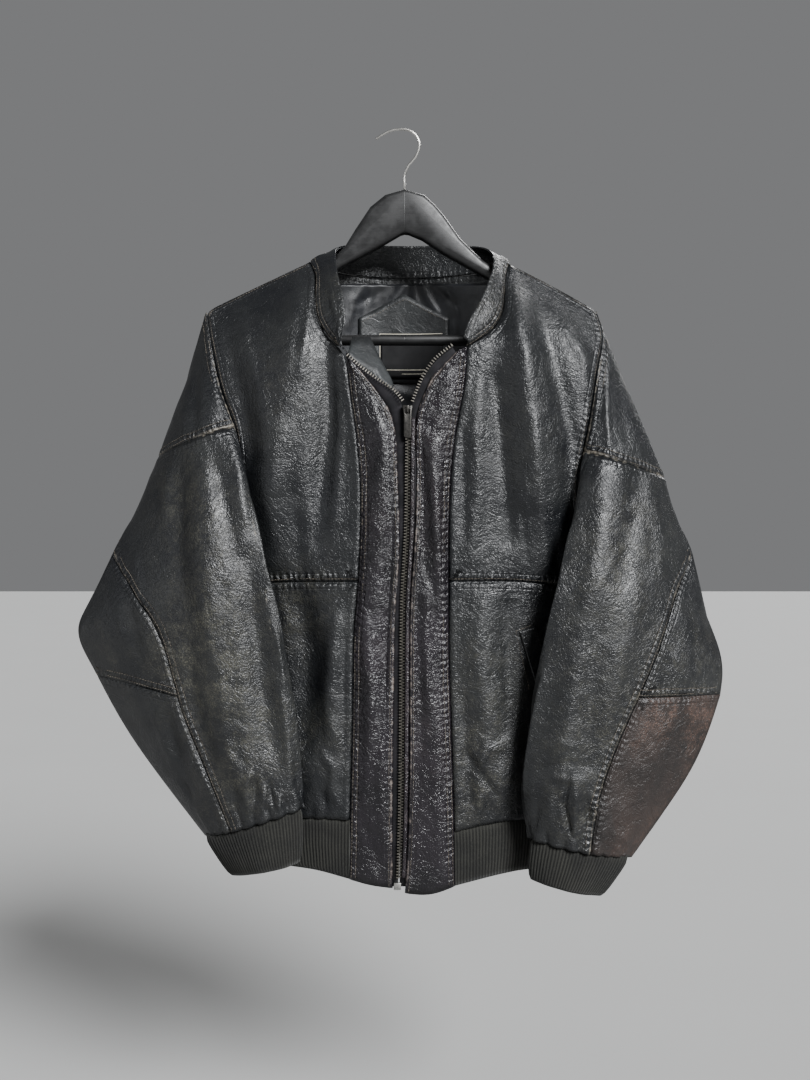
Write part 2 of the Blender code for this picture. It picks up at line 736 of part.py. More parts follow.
def coatPanels():
    prepare(left)
    prepare(right)
    body, bodyInside = [], (5, 0, -450)
    grids = {}
    for side in (left, right):
        name = side["name"]
        grid = frontGrid(side)
        grids["front_" + name] = grid
        body.append(Panel("front_upper_" + name, grid[:chestRow + 1], bodyInside, "leather"))
        body.append(Panel("front_lower_" + name, grid[chestRow:], bodyInside, "leather"))
        body.append(Panel("front_band_" + name, bandGrid(side), bodyInside, "leather_band"))
        front, elbow = sleeveGrids(side)
        capSeam = np.concatenate([front[0], elbow[0][1:]])
        middle = front.reshape(-1, 3).mean(axis=0) + (0, 35, 0)
        splitRow = sleeveStations().index(side["elbowSplit"])
        body.append(Panel("sleeve_cap_" + name, capGrid(side, capSeam),
                          side["armFront"][3] + np.array((0, 40, -40)), "leather"))
        sides = (seamInset, seamInset, wideInset, wideInset)
        body.append(Panel("sleeve_front_" + name, front, middle, "leather", inset=sides))
        body.append(Panel("sleeve_elbow_" + name, elbow[:splitRow + 1], middle, "leather",
                          inset=sides))
        patch = "leather_brown" if name == "right" else "leather"
        body.append(Panel("sleeve_elbow_patch_" + name, elbow[splitRow:], middle, patch))
    backLeft, backRight = backGrid(left), backGrid(right)
    back = np.concatenate([backLeft[:, ::-1], backRight[:, 1:]], axis=1)
    grids["back"] = back
    body.append(Panel("back", back, bodyInside, "leather",
                      inset=(seamInset, seamInset, sideInset, sideInset)))
    body.append(collarPanel(grids, back))
    shareNormals(body)
    return body, grids


def collarPanel(grids, back):
    neckLeft = grids["front_left"][bandRow::-1, 0]
    neckRight = grids["front_right"][:bandRow + 1, 0]
    middle = back.shape[1] // 2
    behind = back[0, middle - neckColumns:middle + neckColumns + 1]
    base = np.concatenate([neckLeft, behind[1:-1], neckRight])
    top = spline(collarTopColumns, collarTop)
    rows = []
    for i in range(collarRows + 1):
        v = i / collarRows
        line = []
        for j, point in enumerate(base):
            place = mix(point, top(j), v)
            away = unit(point - np.array((8.0, 0.0, point[2])))
            line.append(place + away * collarBulge * math.sin(math.pi * v))
        rows.append(line)
    return Panel("collar", np.array(rows), (8, 0, -230), "leather", wall=collarWall,
                 inset=(wideInset, seamInset, seamInset, seamInset))


def ribPanels():
    panels = []
    ends = (seamInset, seamInset, sideInset, sideInset)
    for side in (left, right):
        grid = ringGrid(cuffLines(side), 1)
        middle = grid.reshape(-1, 3).mean(axis=0)
        panels.append(Panel("cuff_" + side["name"], grid, middle, "rib_knit", wall=ribWall,
                            closed=True))
    panels.append(Panel("waistband", ringGrid(waistLines(), 1), (5, 0, -760), "rib_knit",
                        wall=ribWall, inset=ends))
    for panel in panels:
        height = np.zeros(panel.grid.shape[:2] + (1,))
        height[:, 1::2] = ribRaise
        panel.raised = height
    return panels


def liningPanels(back):
    # Satin behind the neck, then the leather patch and the label that lie on it
    onBack = depthOn(back, 0.0)

    def curtain(u, v):
        top = liningDown[0] - 5 * abs(2 * u - 1) ** 2
        return mix(*liningAcross, u), mix(top, liningDown[1], v)

    liningGrid = laidGrid(10, 7, curtain, onBack, liningLift + liningWall)
    lining = Panel("back_lining", liningGrid, (5, 200, -240), "satin", wall=liningWall)
    onLining = depthOn(lining, 0.0)

    def house(u, v):
        top = mix(patchDown[0], patchApex, 1 - abs(2 * u - 1))
        return mix(*patchAcross, u), mix(top, patchDown[1], v)

    patchGrid = laidGrid(6, 4, house, onLining, patchLift + patchWall)
    patch = Panel("neck_patch", patchGrid, (5, 200, -220), "leather", wall=patchWall)
    onPatch = depthOn(patch, 0.0)

    def square(u, v):
        return mix(*labelAcross, u), mix(*labelDown, v)

    labelGrid = laidGrid(5, 3, square, onPatch, labelLift + labelWall)
    label = Panel("label", labelGrid, (12, 200, -235), "label_cloth", wall=labelWall)
    return [lining, patch, label]


def facingPanel():
    # The turned-in front edge that shows beside the open zip
    edge = [(-54, -62.4, -251), (-38, -64.6, -266), (-23, -67.2, -277), (-7, -69.8, -288)]
    top = [(-50, -38, -229), (-31, -30, -228), (-18, -46, -258), (-5, -63, -281)]
    grid = np.array([top, edge], float)
    return Panel("front_facing_left", grid, (5, 200, -260), "leather", wall=facingWall)


def tapeGrid(side):
    # From the collar down the open edge to the slider, then straight to the hem
    sign = -1 if side is left else 1
    behind = np.array((0, leatherWall + tapeGap, 0))
    rows = []
    for k, point in enumerate(side["zipTop"]):
        tooth = through(side["teeth"])(k / 2 * 0.98)
        under = np.array(point, float) + behind + (sign * 3.0, 0, -3.5)
        rows.append([under, np.array((tooth[0], under[1], tooth[2]))])
    meet = zipCentre(-322)
    lip = side["lipCurve"](322)
    rows.append([lip + behind + (sign * 4, 0, 0), (meet[0] + sign * 0.5, lip[1] + behind[1], -310)])
    for row in range(capRow + 1, bodyRows + 2):
        lip = side["lipCurve"](-seamHeight(side, row)) if row <= bodyRows else side["lipHem"]
        lip = np.array(lip, float)
        if row > bodyRows:
            lip[2] = -796
        place = lip + behind
        rows.append([place + (sign * 4, 0, 0), (zipCentre(lip[2])[0] + sign * 0.5, place[1], lip[2])])
    return np.array(rows, float)


def zipCentre(z):
    line = spline((306, 364, 431, 510, 616, 711, 800),
                  [(8.5, 0), (8, 0), (7, 0), (3, 0), (2, 0), (1, 0), (-1, 0)])
    return line(-z)


def union(base, other):
    # Joins another object's body to the base object for good
    joint = base.modifiers.new("join", "BOOLEAN")
    joint.operation = "UNION"
    joint.solver = "EXACT"
    joint.object = other
    other.hide_render = True
    other.display_type = "WIRE"


def slider():
    # A wedge-shaped slider with its bail, which the pull tab hangs from
    x, z = sliderCentre
    wide, deep, tall = sliderSize
    outline = [(x - wide / 2, z + tall / 2), (x + wide / 2, z + tall / 2),
               (x + wide * 0.34, z - tall / 2), (x - wide * 0.34, z - tall / 2)]
    base = plate("zip_slider", outline, sliderFront, sliderFront + deep, "zip_metal")
    pivotZ = pullPivot[2]
    out = sliderFront - bailHigh
    half = bailWide / 2
    arch = [(sliderFront + 0.5, pivotZ + bailLong / 2), (out, pivotZ + bailLong / 2),
            (out, pivotZ - bailLong / 2), (sliderFront + 0.5, pivotZ - bailLong / 2),
            (sliderFront + 0.5, pivotZ - bailLong / 2 + bailWire),
            (out + bailWire, pivotZ - bailLong / 2 + bailWire),
            (out + bailWire, pivotZ + bailLong / 2 - bailWire),
            (sliderFront + 0.5, pivotZ + bailLong / 2 - bailWire)]
    count = len(arch)
    points = [(x - half, y, zz) for y, zz in arch] + [(x + half, y, zz) for y, zz in arch]
    faces = [tuple(range(count)), tuple(range(2 * count - 1, count - 1, -1))]
    faces += [(i, i + count, (i + 1) % count + count, (i + 1) % count) for i in range(count)]
    bail = addObject("bail_form", points, faces, "zip_metal")
    union(base, bail)


def pullTab():
    # The pull hangs on the bail by its cross bar, which lies on the hinge axis
    x, y, z = pullPivot
    half = pullWide / 2
    top, bottom = z + pullBar, z - pullLong
    ring = [(x - half, top), (x + half, top), (x + half, bottom + pullCorner),
            (x + half - pullCorner, bottom), (x - half + pullCorner, bottom),
            (x - half, bottom + pullCorner)]
    inner = half - pullRail
    hole = [(x - inner, z - pullBar), (x - inner, z - pullBar - pullHole),
            (x + inner, z - pullBar - pullHole), (x + inner, z - pullBar)]
    base = plate("zip_pull", ring, y - pullThick / 2, y + pullThick / 2, "zip_metal",
                 origin=pullPivot)
    cutter = plate("pull_hole_form", hole, y - pullThick, y + pullThick, "zip_metal")
    cut = base.modifiers.new("hole", "BOOLEAN")
    cut.operation = "DIFFERENCE"
    cut.solver = "EXACT"
    cut.object = cutter
    cutter.hide_render = True
    cutter.display_type = "WIRE"


def zipBox():
    # The box that holds the zip's two ends together at the hem
    x, z = boxCentre
    wide, deep, tall = boxSize
    outline = [(x - wide / 2, z + tall / 2), (x + wide / 2, z + tall / 2),
               (x + wide / 2, z - tall / 2), (x - wide / 2, z - tall / 2)]
    plate("zip_box", outline, boxFront, boxFront + deep, "zip_metal")


def hanger():
    half = boardThick / 2
    plate("hanger_board", boardUpper + boardLower, -half, half, "painted_wood", boardRound)
    count = 20
    points = []
    for x in (barLeft, barRight):
        for k in range(count):
            a = 2 * math.pi * k / count
            points.append((x, barRadius * math.cos(a), barZ + barRadius * math.sin(a)))
    faces = [tuple(range(count))[::-1], tuple(range(count, 2 * count))]
    faces += [(k, (k + 1) % count, (k + 1) % count + count, k + count) for k in range(count)]
    addObject("hanger_bar", points, faces, "painted_wood", smooth=True)
    wire = bpy.data.curves.new("hanger_hook", "CURVE")
    wire.dimensions = "3D"
    wire.bevel_depth = hookWire * metre
    wire.bevel_resolution = 2
    wire.use_fill_caps = True
    route = through([(x, 0, z) for x, z in hookRoute])
    steps = 34
    line = wire.splines.new("POLY")
    line.points.add(steps)
    for k in range(steps + 1):
        px, py, pz = route(k / steps)
        if k == 0:
            pz += 0.3
        line.points[k].co = (px * metre, py * metre, pz * metre, 1)
    thing = bpy.data.objects.new("hanger_hook", wire)
    thing.data.materials.append(materials["steel"])
    bpy.context.collection.objects.link(thing)


def welt(side, lower):
    # The slanted welt of a pocket, laid on the lower front
    onFront = depthOn(lower, -400.0)
    (x0, z0), (x1, z1) = side["pocket"]
    wide = side["pocketWidth"]

    def outline(u, v):
        return mix(x0, x1, v) + wide * u, mix(z0, z1, v) + weltSlant * u

    grid = laidGrid(3, 7, outline, onFront, weltLift + weltWall)
    return Panel("pocket_welt_" + side["name"], grid, (5, 0, -560), "leather", wall=weltWall)


def build():
    body, grids = coatPanels()
    byName = {panel.name: panel for panel in body}
    extra = ribPanels() + liningPanels(byName["back"]) + [facingPanel()]
    for side in (left, right):
        name = side["name"]
        extra.append(welt(side, byName["front_lower_" + name]))
        extra.append(Panel("zip_tape_" + name, tapeGrid(side), (5, 200, -500), "zip_tape",
                           wall=tapeWall))
    for panel in body + extra:
        points, faces = panel.solid()
        addObject(panel.name, points, faces, panel.finish, smooth=True)
    slider()
    pullTab()
    zipBox()
    hanger()


for thing in list(bpy.data.objects):
    bpy.data.objects.remove(thing, do_unlink=True)
materials = {name: makeMaterial(name) for name in finishes}
build()
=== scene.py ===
# Worn black leather blouson on a wooden hanger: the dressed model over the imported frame
import math

import bmesh
import bpy
import numpy as np
from mathutils import Matrix, Vector, noise
from mathutils.bvhtree import BVHTree
from mathutils.kdtree import KDTree


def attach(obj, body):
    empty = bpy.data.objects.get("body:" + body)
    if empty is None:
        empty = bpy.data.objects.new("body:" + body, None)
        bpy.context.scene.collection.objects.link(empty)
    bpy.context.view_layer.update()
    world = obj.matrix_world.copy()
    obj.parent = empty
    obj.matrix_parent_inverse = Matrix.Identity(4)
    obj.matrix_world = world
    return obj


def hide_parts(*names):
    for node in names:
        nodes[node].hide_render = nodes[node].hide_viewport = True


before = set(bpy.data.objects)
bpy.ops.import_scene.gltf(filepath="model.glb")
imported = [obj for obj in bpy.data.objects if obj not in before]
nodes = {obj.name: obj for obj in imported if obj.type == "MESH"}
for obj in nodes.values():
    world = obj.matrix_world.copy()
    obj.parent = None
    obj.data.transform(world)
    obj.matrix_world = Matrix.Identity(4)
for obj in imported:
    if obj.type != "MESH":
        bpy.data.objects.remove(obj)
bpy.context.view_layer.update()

mm = 0.001
coat, pullBody = "garment", "pull_tab"

# Creases, in millimetres: the points they run through in X and Z, how wide, how high
creases = {
    "frontLeft": [
        ([(-89, -154), (-95, -218), (-101, -271)], 5, 2.2),
        ([(-75, -228), (-71, -299), (-79, -381), (-85, -442)], 11, -4.0),
        ([(-65, -258), (-61, -330), (-67, -422)], 6, 2.5),
        ([(-181, -233), (-163, -299), (-151, -360)], 8, -2.5),
        ([(-163, -228), (-144, -279), (-136, -350)], 8, 2.0),
        ([(-151, -248), (-140, -291)], 3, -0.9),
        ([(-126, -330), (-134, -401), (-130, -462)], 12, 3.0),
        ([(-106, -401), (-102, -473)], 8, -2.0),
        ([(-117, -503), (-102, -513), (-83, -509)], 3, -0.8),
        ([(-119, -526), (-102, -532), (-79, -526)], 4, 1.0),
        ([(-102, -499), (-89, -564), (-96, -646)], 15, -5.0),
        ([(-65, -524), (-73, -595), (-67, -646)], 8, 3.2),
        ([(-71, -605), (-61, -634)], 3, -1.4),
        ([(-79, -658), (-67, -674), (-71, -703)], 4, 2.2),
        ([(-79, -697), (-75, -713)], 3, -1.6),
        ([(-67, -693), (-63, -713)], 3, 1.4),
        ([(-57, -544), (-55, -666)], 5, -1.6),
    ],
    "frontRight": [
        ([(119, -165), (129, -248), (133, -340), (125, -401)], 13, 3.5),
        ([(143, -197), (160, -261), (177, -340), (174, -422)], 12, -5.0),
        ([(176, -220), (192, -250), (194, -287)], 8, 3.0),
        ([(86, -243), (78, -320), (80, -401), (72, -462)], 9, 3.0),
        ([(99, -279), (105, -350), (114, -442)], 9, -3.5),
        ([(139, -320), (143, -401), (151, -469)], 10, 3.0),
        ([(123, -406), (133, -475)], 3, -1.2),
        ([(160, -442), (163, -478)], 5, -1.8),
        ([(64, -330), (66, -442)], 4, -1.2),
        ([(85, -503), (80, -564), (88, -626)], 14, 3.4),
        ([(110, -513), (112, -605), (104, -666)], 9, -3.2),
        ([(94, -544), (82, -595)], 3, 0.9),
        ([(65, -605), (68, -666), (72, -707)], 6, -2.2),
        ([(68, -658), (84, -682), (99, -703)], 3.5, -2.6),
        ([(88, -648), (80, -679)], 4, 2.4),
        ([(94, -656), (110, -648)], 4, 1.8),
        ([(72, -692), (68, -719)], 3, -1.6),
        ([(82, -699), (80, -722)], 3, 1.5),
        ([(92, -703), (90, -722)], 3, -1.2),
    ],
    "bandLeft": [
        ([(-12, -330), (-28, -412), (-33, -478), (-38, -533), (-33, -588), (-30, -650)], 8, 2.2),
        ([(-14, -520), (-16, -590), (-18, -640)], 4, -1.3),
        ([(-28, -300), (-14, -363), (-20, -442), (-26, -503)], 8, 2.2),
        ([(-8, -422), (-12, -503), (-14, -584)], 6, -2.2),
        ([(-34, -523), (-28, -604), (-34, -706)], 7, 1.8),
        ([(-16, -604), (-20, -685), (-14, -756)], 5, 1.4),
        ([(-41, -330), (-32, -381)], 5, -1.2),
        ([(-22, -300), (-6, -337)], 4, -1.0),
        ([(-38, -422), (-22, -447), (-8, -454)], 2, -0.6),
        ([(-34, -462), (-20, -478)], 2, -0.6),
        ([(-30, -493), (-16, -515), (-8, -509)], 2, -0.7),
        ([(-26, -543), (-14, -564)], 2, -0.6),
        ([(-38, -726), (-26, -756), (-16, -787)], 3, -0.9),
        ([(-28, -706), (-14, -741)], 2, 0.6),
        ([(-36, -594), (-20, -604)], 2, -0.5),
    ],
    "bandRight": [
        ([(28, -330), (33, -380), (38, -440), (42, -500), (40, -560)], 7, 2.2),
        ([(20, -350), (22, -420), (26, -480)], 4, -1.5),
        ([(19, -321), (32, -332), (52, -338)], 1.7, -0.8),
        ([(22, -360), (34, -372), (50, -374)], 1.8, -0.7),
        ([(49, -285), (37, -351), (39, -442), (47, -503)], 8, 2.0),
        ([(22, -341), (27, -422), (31, -483)], 6, -2.0),
        ([(31, -462), (25, -543), (33, -625)], 6, 1.8),
        ([(41, -604), (37, -696), (43, -777)], 8, 1.6),
        ([(19, -503), (21, -604), (19, -706)], 5, -1.6),
        ([(21, -318), (33, -332), (53, -337)], 2.2, -1.0),
        ([(29, -353), (41, -371), (53, -375)], 2.2, -0.8),
        ([(25, -381), (31, -422)], 2, -0.6),
        ([(21, -462), (33, -488), (37, -523)], 2.4, -0.9),
        ([(31, -515), (45, -539)], 2, -0.8),
        ([(33, -559), (47, -564)], 2, -0.7),
        ([(27, -594), (41, -604)], 2, -0.6),
        ([(29, -645), (45, -657)], 2, -0.7),
        ([(25, -706), (41, -736)], 2, -0.6),
        ([(21, -756), (35, -779)], 2, -0.6),
        ([(33, -272), (53, -266)], 2.2, -0.8),
        ([(29, -290), (47, -292)], 2, -0.7),
        ([(41, -251), (51, -280)], 4, 1.2),
    ],
    "sleeveLeft": [
        ([(-204, -230), (-196, -272), (-182, -317)], 4, 1.6),
        ([(-216, -250), (-212, -331)], 6, -1.8),
        ([(-230, -300), (-224, -341)], 4, 1.2),
        ([(-174, -333), (-163, -371), (-155, -422)], 6, 2.6),
        ([(-194, -341), (-176, -402), (-163, -462)], 9, -2.6),
        ([(-202, -371), (-198, -462), (-190, -543), (-180, -604)], 15, 4.6),
        ([(-226, -371), (-224, -442), (-218, -503)], 10, -3.0),
        ([(-244, -371), (-242, -422)], 6, 1.6),
        ([(-151, -462), (-139, -553), (-129, -644)], 13, -4.4),
        ([(-120, -584), (-113, -644), (-109, -697)], 5, 2.0),
        ([(-212, -543), (-206, -604), (-190, -664)], 8, -2.4),
        ([(-180, -594), (-176, -644), (-161, -683)], 10, 2.6),
        ([(-198, -503), (-188, -563)], 4, 1.0),
        ([(-275, -462), (-262, -513), (-252, -565)], 5, 1.8),
        ([(-297, -499), (-283, -543), (-275, -571)], 4, 1.6),
        ([(-287, -482), (-271, -533), (-262, -573)], 4, -1.6),
        ([(-262, -503), (-250, -543), (-244, -575)], 4, -1.2),
        ([(-303, -533), (-291, -567)], 3, -1.2),
        ([(-256, -604), (-242, -644), (-226, -685)], 8, 2.0),
        ([(-226, -604), (-214, -649), (-196, -695)], 6, 2.2),
        ([(-234, -624), (-224, -675), (-206, -717)], 6, -2.4),
        ([(-283, -594), (-262, -634)], 6, -1.2),
        ([(-222, -677), (-206, -705)], 3, 1.6),
        ([(-214, -705), (-196, -731)], 5, 2.2),
        ([(-180, -626), (-163, -620), (-149, -626)], 2.4, -0.8),
        ([(-186, -644), (-165, -652), (-151, -668)], 2.4, -0.9),
        ([(-149, -672), (-155, -695), (-151, -713)], 3, 2.4),
        ([(-143, -681), (-145, -711)], 2.2, -2.4),
        ([(-135, -689), (-137, -711)], 2.6, 2.4),
        ([(-130, -685), (-125, -711)], 2.0, -2.2),
        ([(-119, -695), (-121, -709)], 3, 1.8),
        ([(-109, -691), (-109, -708)], 2.4, -1.4),
        ([(-165, -685), (-163, -711)], 3, -1.6),
        ([(-176, -695), (-172, -717)], 3, 1.4),
    ],
    "sleeveRight": [
        ([(209, -245), (203, -300), (194, -345)], 4, 1.8),
        ([(221, -245), (214, -311), (215, -345)], 4, 2.2),
        ([(231, -270), (235, -341)], 7, -1.4),
        ([(253, -321), (223, -345)], 2, -0.6),
        ([(247, -371), (235, -422), (221, -482)], 12, -3.8),
        ([(207, -381), (200, -442), (182, -523)], 12, 2.4),
        ([(263, -381), (271, -442), (265, -482)], 8, 2.0),
        ([(207, -402), (231, -418), (243, -402)], 5, 1.4),
        ([(225, -447), (209, -472), (194, -493)], 3, 1.0),
        ([(243, -493), (225, -553), (203, -624)], 13, 2.2),
        ([(176, -543), (166, -624), (158, -685)], 14, 2.6),
        ([(198, -523), (190, -604), (188, -664)], 12, -2.6),
        ([(294, -513), (304, -553), (294, -594)], 7, 1.8),
        ([(283, -539), (267, -571), (271, -598)], 4, -1.6),
        ([(304, -543), (310, -584)], 4, -1.2),
        ([(263, -553), (287, -567), (308, -571)], 3, 1.2),
        ([(255, -579), (271, -594)], 3, -1.0),
        ([(259, -668), (279, -664), (302, -668)], 2.4, -1.2),
        ([(263, -677), (283, -679), (300, -677)], 2.2, -1.0),
        ([(243, -634), (259, -664), (253, -705)], 8, 1.8),
        ([(271, -624), (283, -654)], 5, 1.2),
        ([(223, -675), (235, -705), (243, -745)], 6, -1.4),
        ([(209, -705), (215, -735), (233, -751)], 4, 1.6),
        ([(135, -656), (158, -642), (188, -650)], 3.4, 1.0),
        ([(137, -672), (162, -662), (190, -668)], 3.0, -0.9),
        ([(132, -695), (154, -677), (182, -683)], 4, 1.4),
        ([(169, -677), (164, -705), (170, -733)], 2.0, -2.8),
        ([(176, -689), (174, -731)], 4, 2.8),
        ([(150, -691), (150, -731)], 6, 2.2),
        ([(186, -701), (192, -737)], 3, -2.2),
        ([(198, -705), (205, -741)], 3, 1.8),
        ([(138, -705), (136, -733)], 3, -1.4),
        ([(215, -717), (225, -751)], 3, -1.6),
    ],
    "collar": [
        ([(-83, -159), (-79, -192), (-69, -223)], 5, -1.0),
        ([(-73, -153), (-69, -192), (-62, -219)], 4, 1.2),
        ([(92, -153), (81, -192), (73, -223)], 6, 1.2),
        ([(104, -161), (98, -198)], 4, -0.8),
    ],
    "back": [
        ([(-150, -220), (-140, -340), (-146, -470)], 16, 4.0),
        ([(-112, -260), (-104, -400), (-110, -560)], 14, -4.0),
        ([(-60, -210), (-52, -340), (-58, -520), (-50, -680)], 18, 3.6),
        ([(-14, -260), (-6, -420), (-12, -600)], 14, -3.0),
        ([(40, -220), (46, -380), (40, -560), (46, -700)], 17, 3.8),
        ([(92, -240), (98, -400), (90, -600)], 14, -4.0),
        ([(146, -230), (148, -360), (154, -480)], 16, 4.2),
        ([(-176, -380), (-150, -430), (-120, -450)], 8, 2.2),
        ([(186, -390), (160, -440), (128, -462)], 8, 2.2),
        ([(-170, -560), (-150, -640), (-120, -700)], 12, 3.0),
        ([(176, -560), (160, -640), (128, -704)], 12, 3.0),
        ([(-90, -690), (-86, -730)], 5, 2.0),
        ([(-66, -700), (-64, -734)], 5, -2.0),
        ([(-30, -700), (-32, -735)], 5, 1.8),
        ([(0, -696), (2, -736)], 5, -1.8),
        ([(30, -704), (28, -736)], 5, 1.8),
        ([(64, -700), (66, -734)], 5, -1.8),
        ([(98, -694), (100, -732)], 5, 2.0),
        ([(-60, -170), (-20, -186), (10, -190), (50, -186), (80, -170)], 8, -2.0),
    ],
    "sleeveLeftBack": [
        ([(-200, -400), (-230, -470), (-250, -540)], 12, 3.4),
        ([(-240, -380), (-262, -450), (-290, -540)], 10, -3.0),
        ([(-210, -560), (-240, -580), (-290, -584)], 6, -2.4),
        ([(-206, -600), (-236, -622), (-280, -626)], 6, 2.6),
        ([(-196, -640), (-224, -656), (-250, -660)], 6, -2.2),
        ([(-170, -640), (-176, -700)], 8, 2.2),
        ([(-150, -690), (-152, -724)], 4, -2.0),
        ([(-170, -700), (-172, -732)], 4, 2.0),
    ],
    "sleeveRightBack": [
        ([(214, -410), (242, -480), (262, -550)], 12, 3.4),
        ([(256, -400), (276, -460), (304, -560)], 10, -3.0),
        ([(226, -570), (256, -590), (304, -596)], 6, -2.4),
        ([(222, -612), (250, -632), (296, -640)], 6, 2.6),
        ([(214, -650), (240, -668), (268, -674)], 6, -2.2),
        ([(190, -660), (196, -720)], 8, 2.2),
        ([(176, -716), (178, -748)], 4, -2.0),
        ([(198, -724), (200, -756)], 4, 2.0),
    ],
}
# painted highlight: a pale line along the lit crease of the left sleeve's inner edge, laid the same way
paintedHighlightLines = {
    "sleeveLeft": [(
        [(-160, -368), (-155, -391), (-144, -442), (-133.5, -494), (-126, -545), (-119.6, -590),
         (-111, -655), (-103, -722)], 1.5, 0.75)],
}

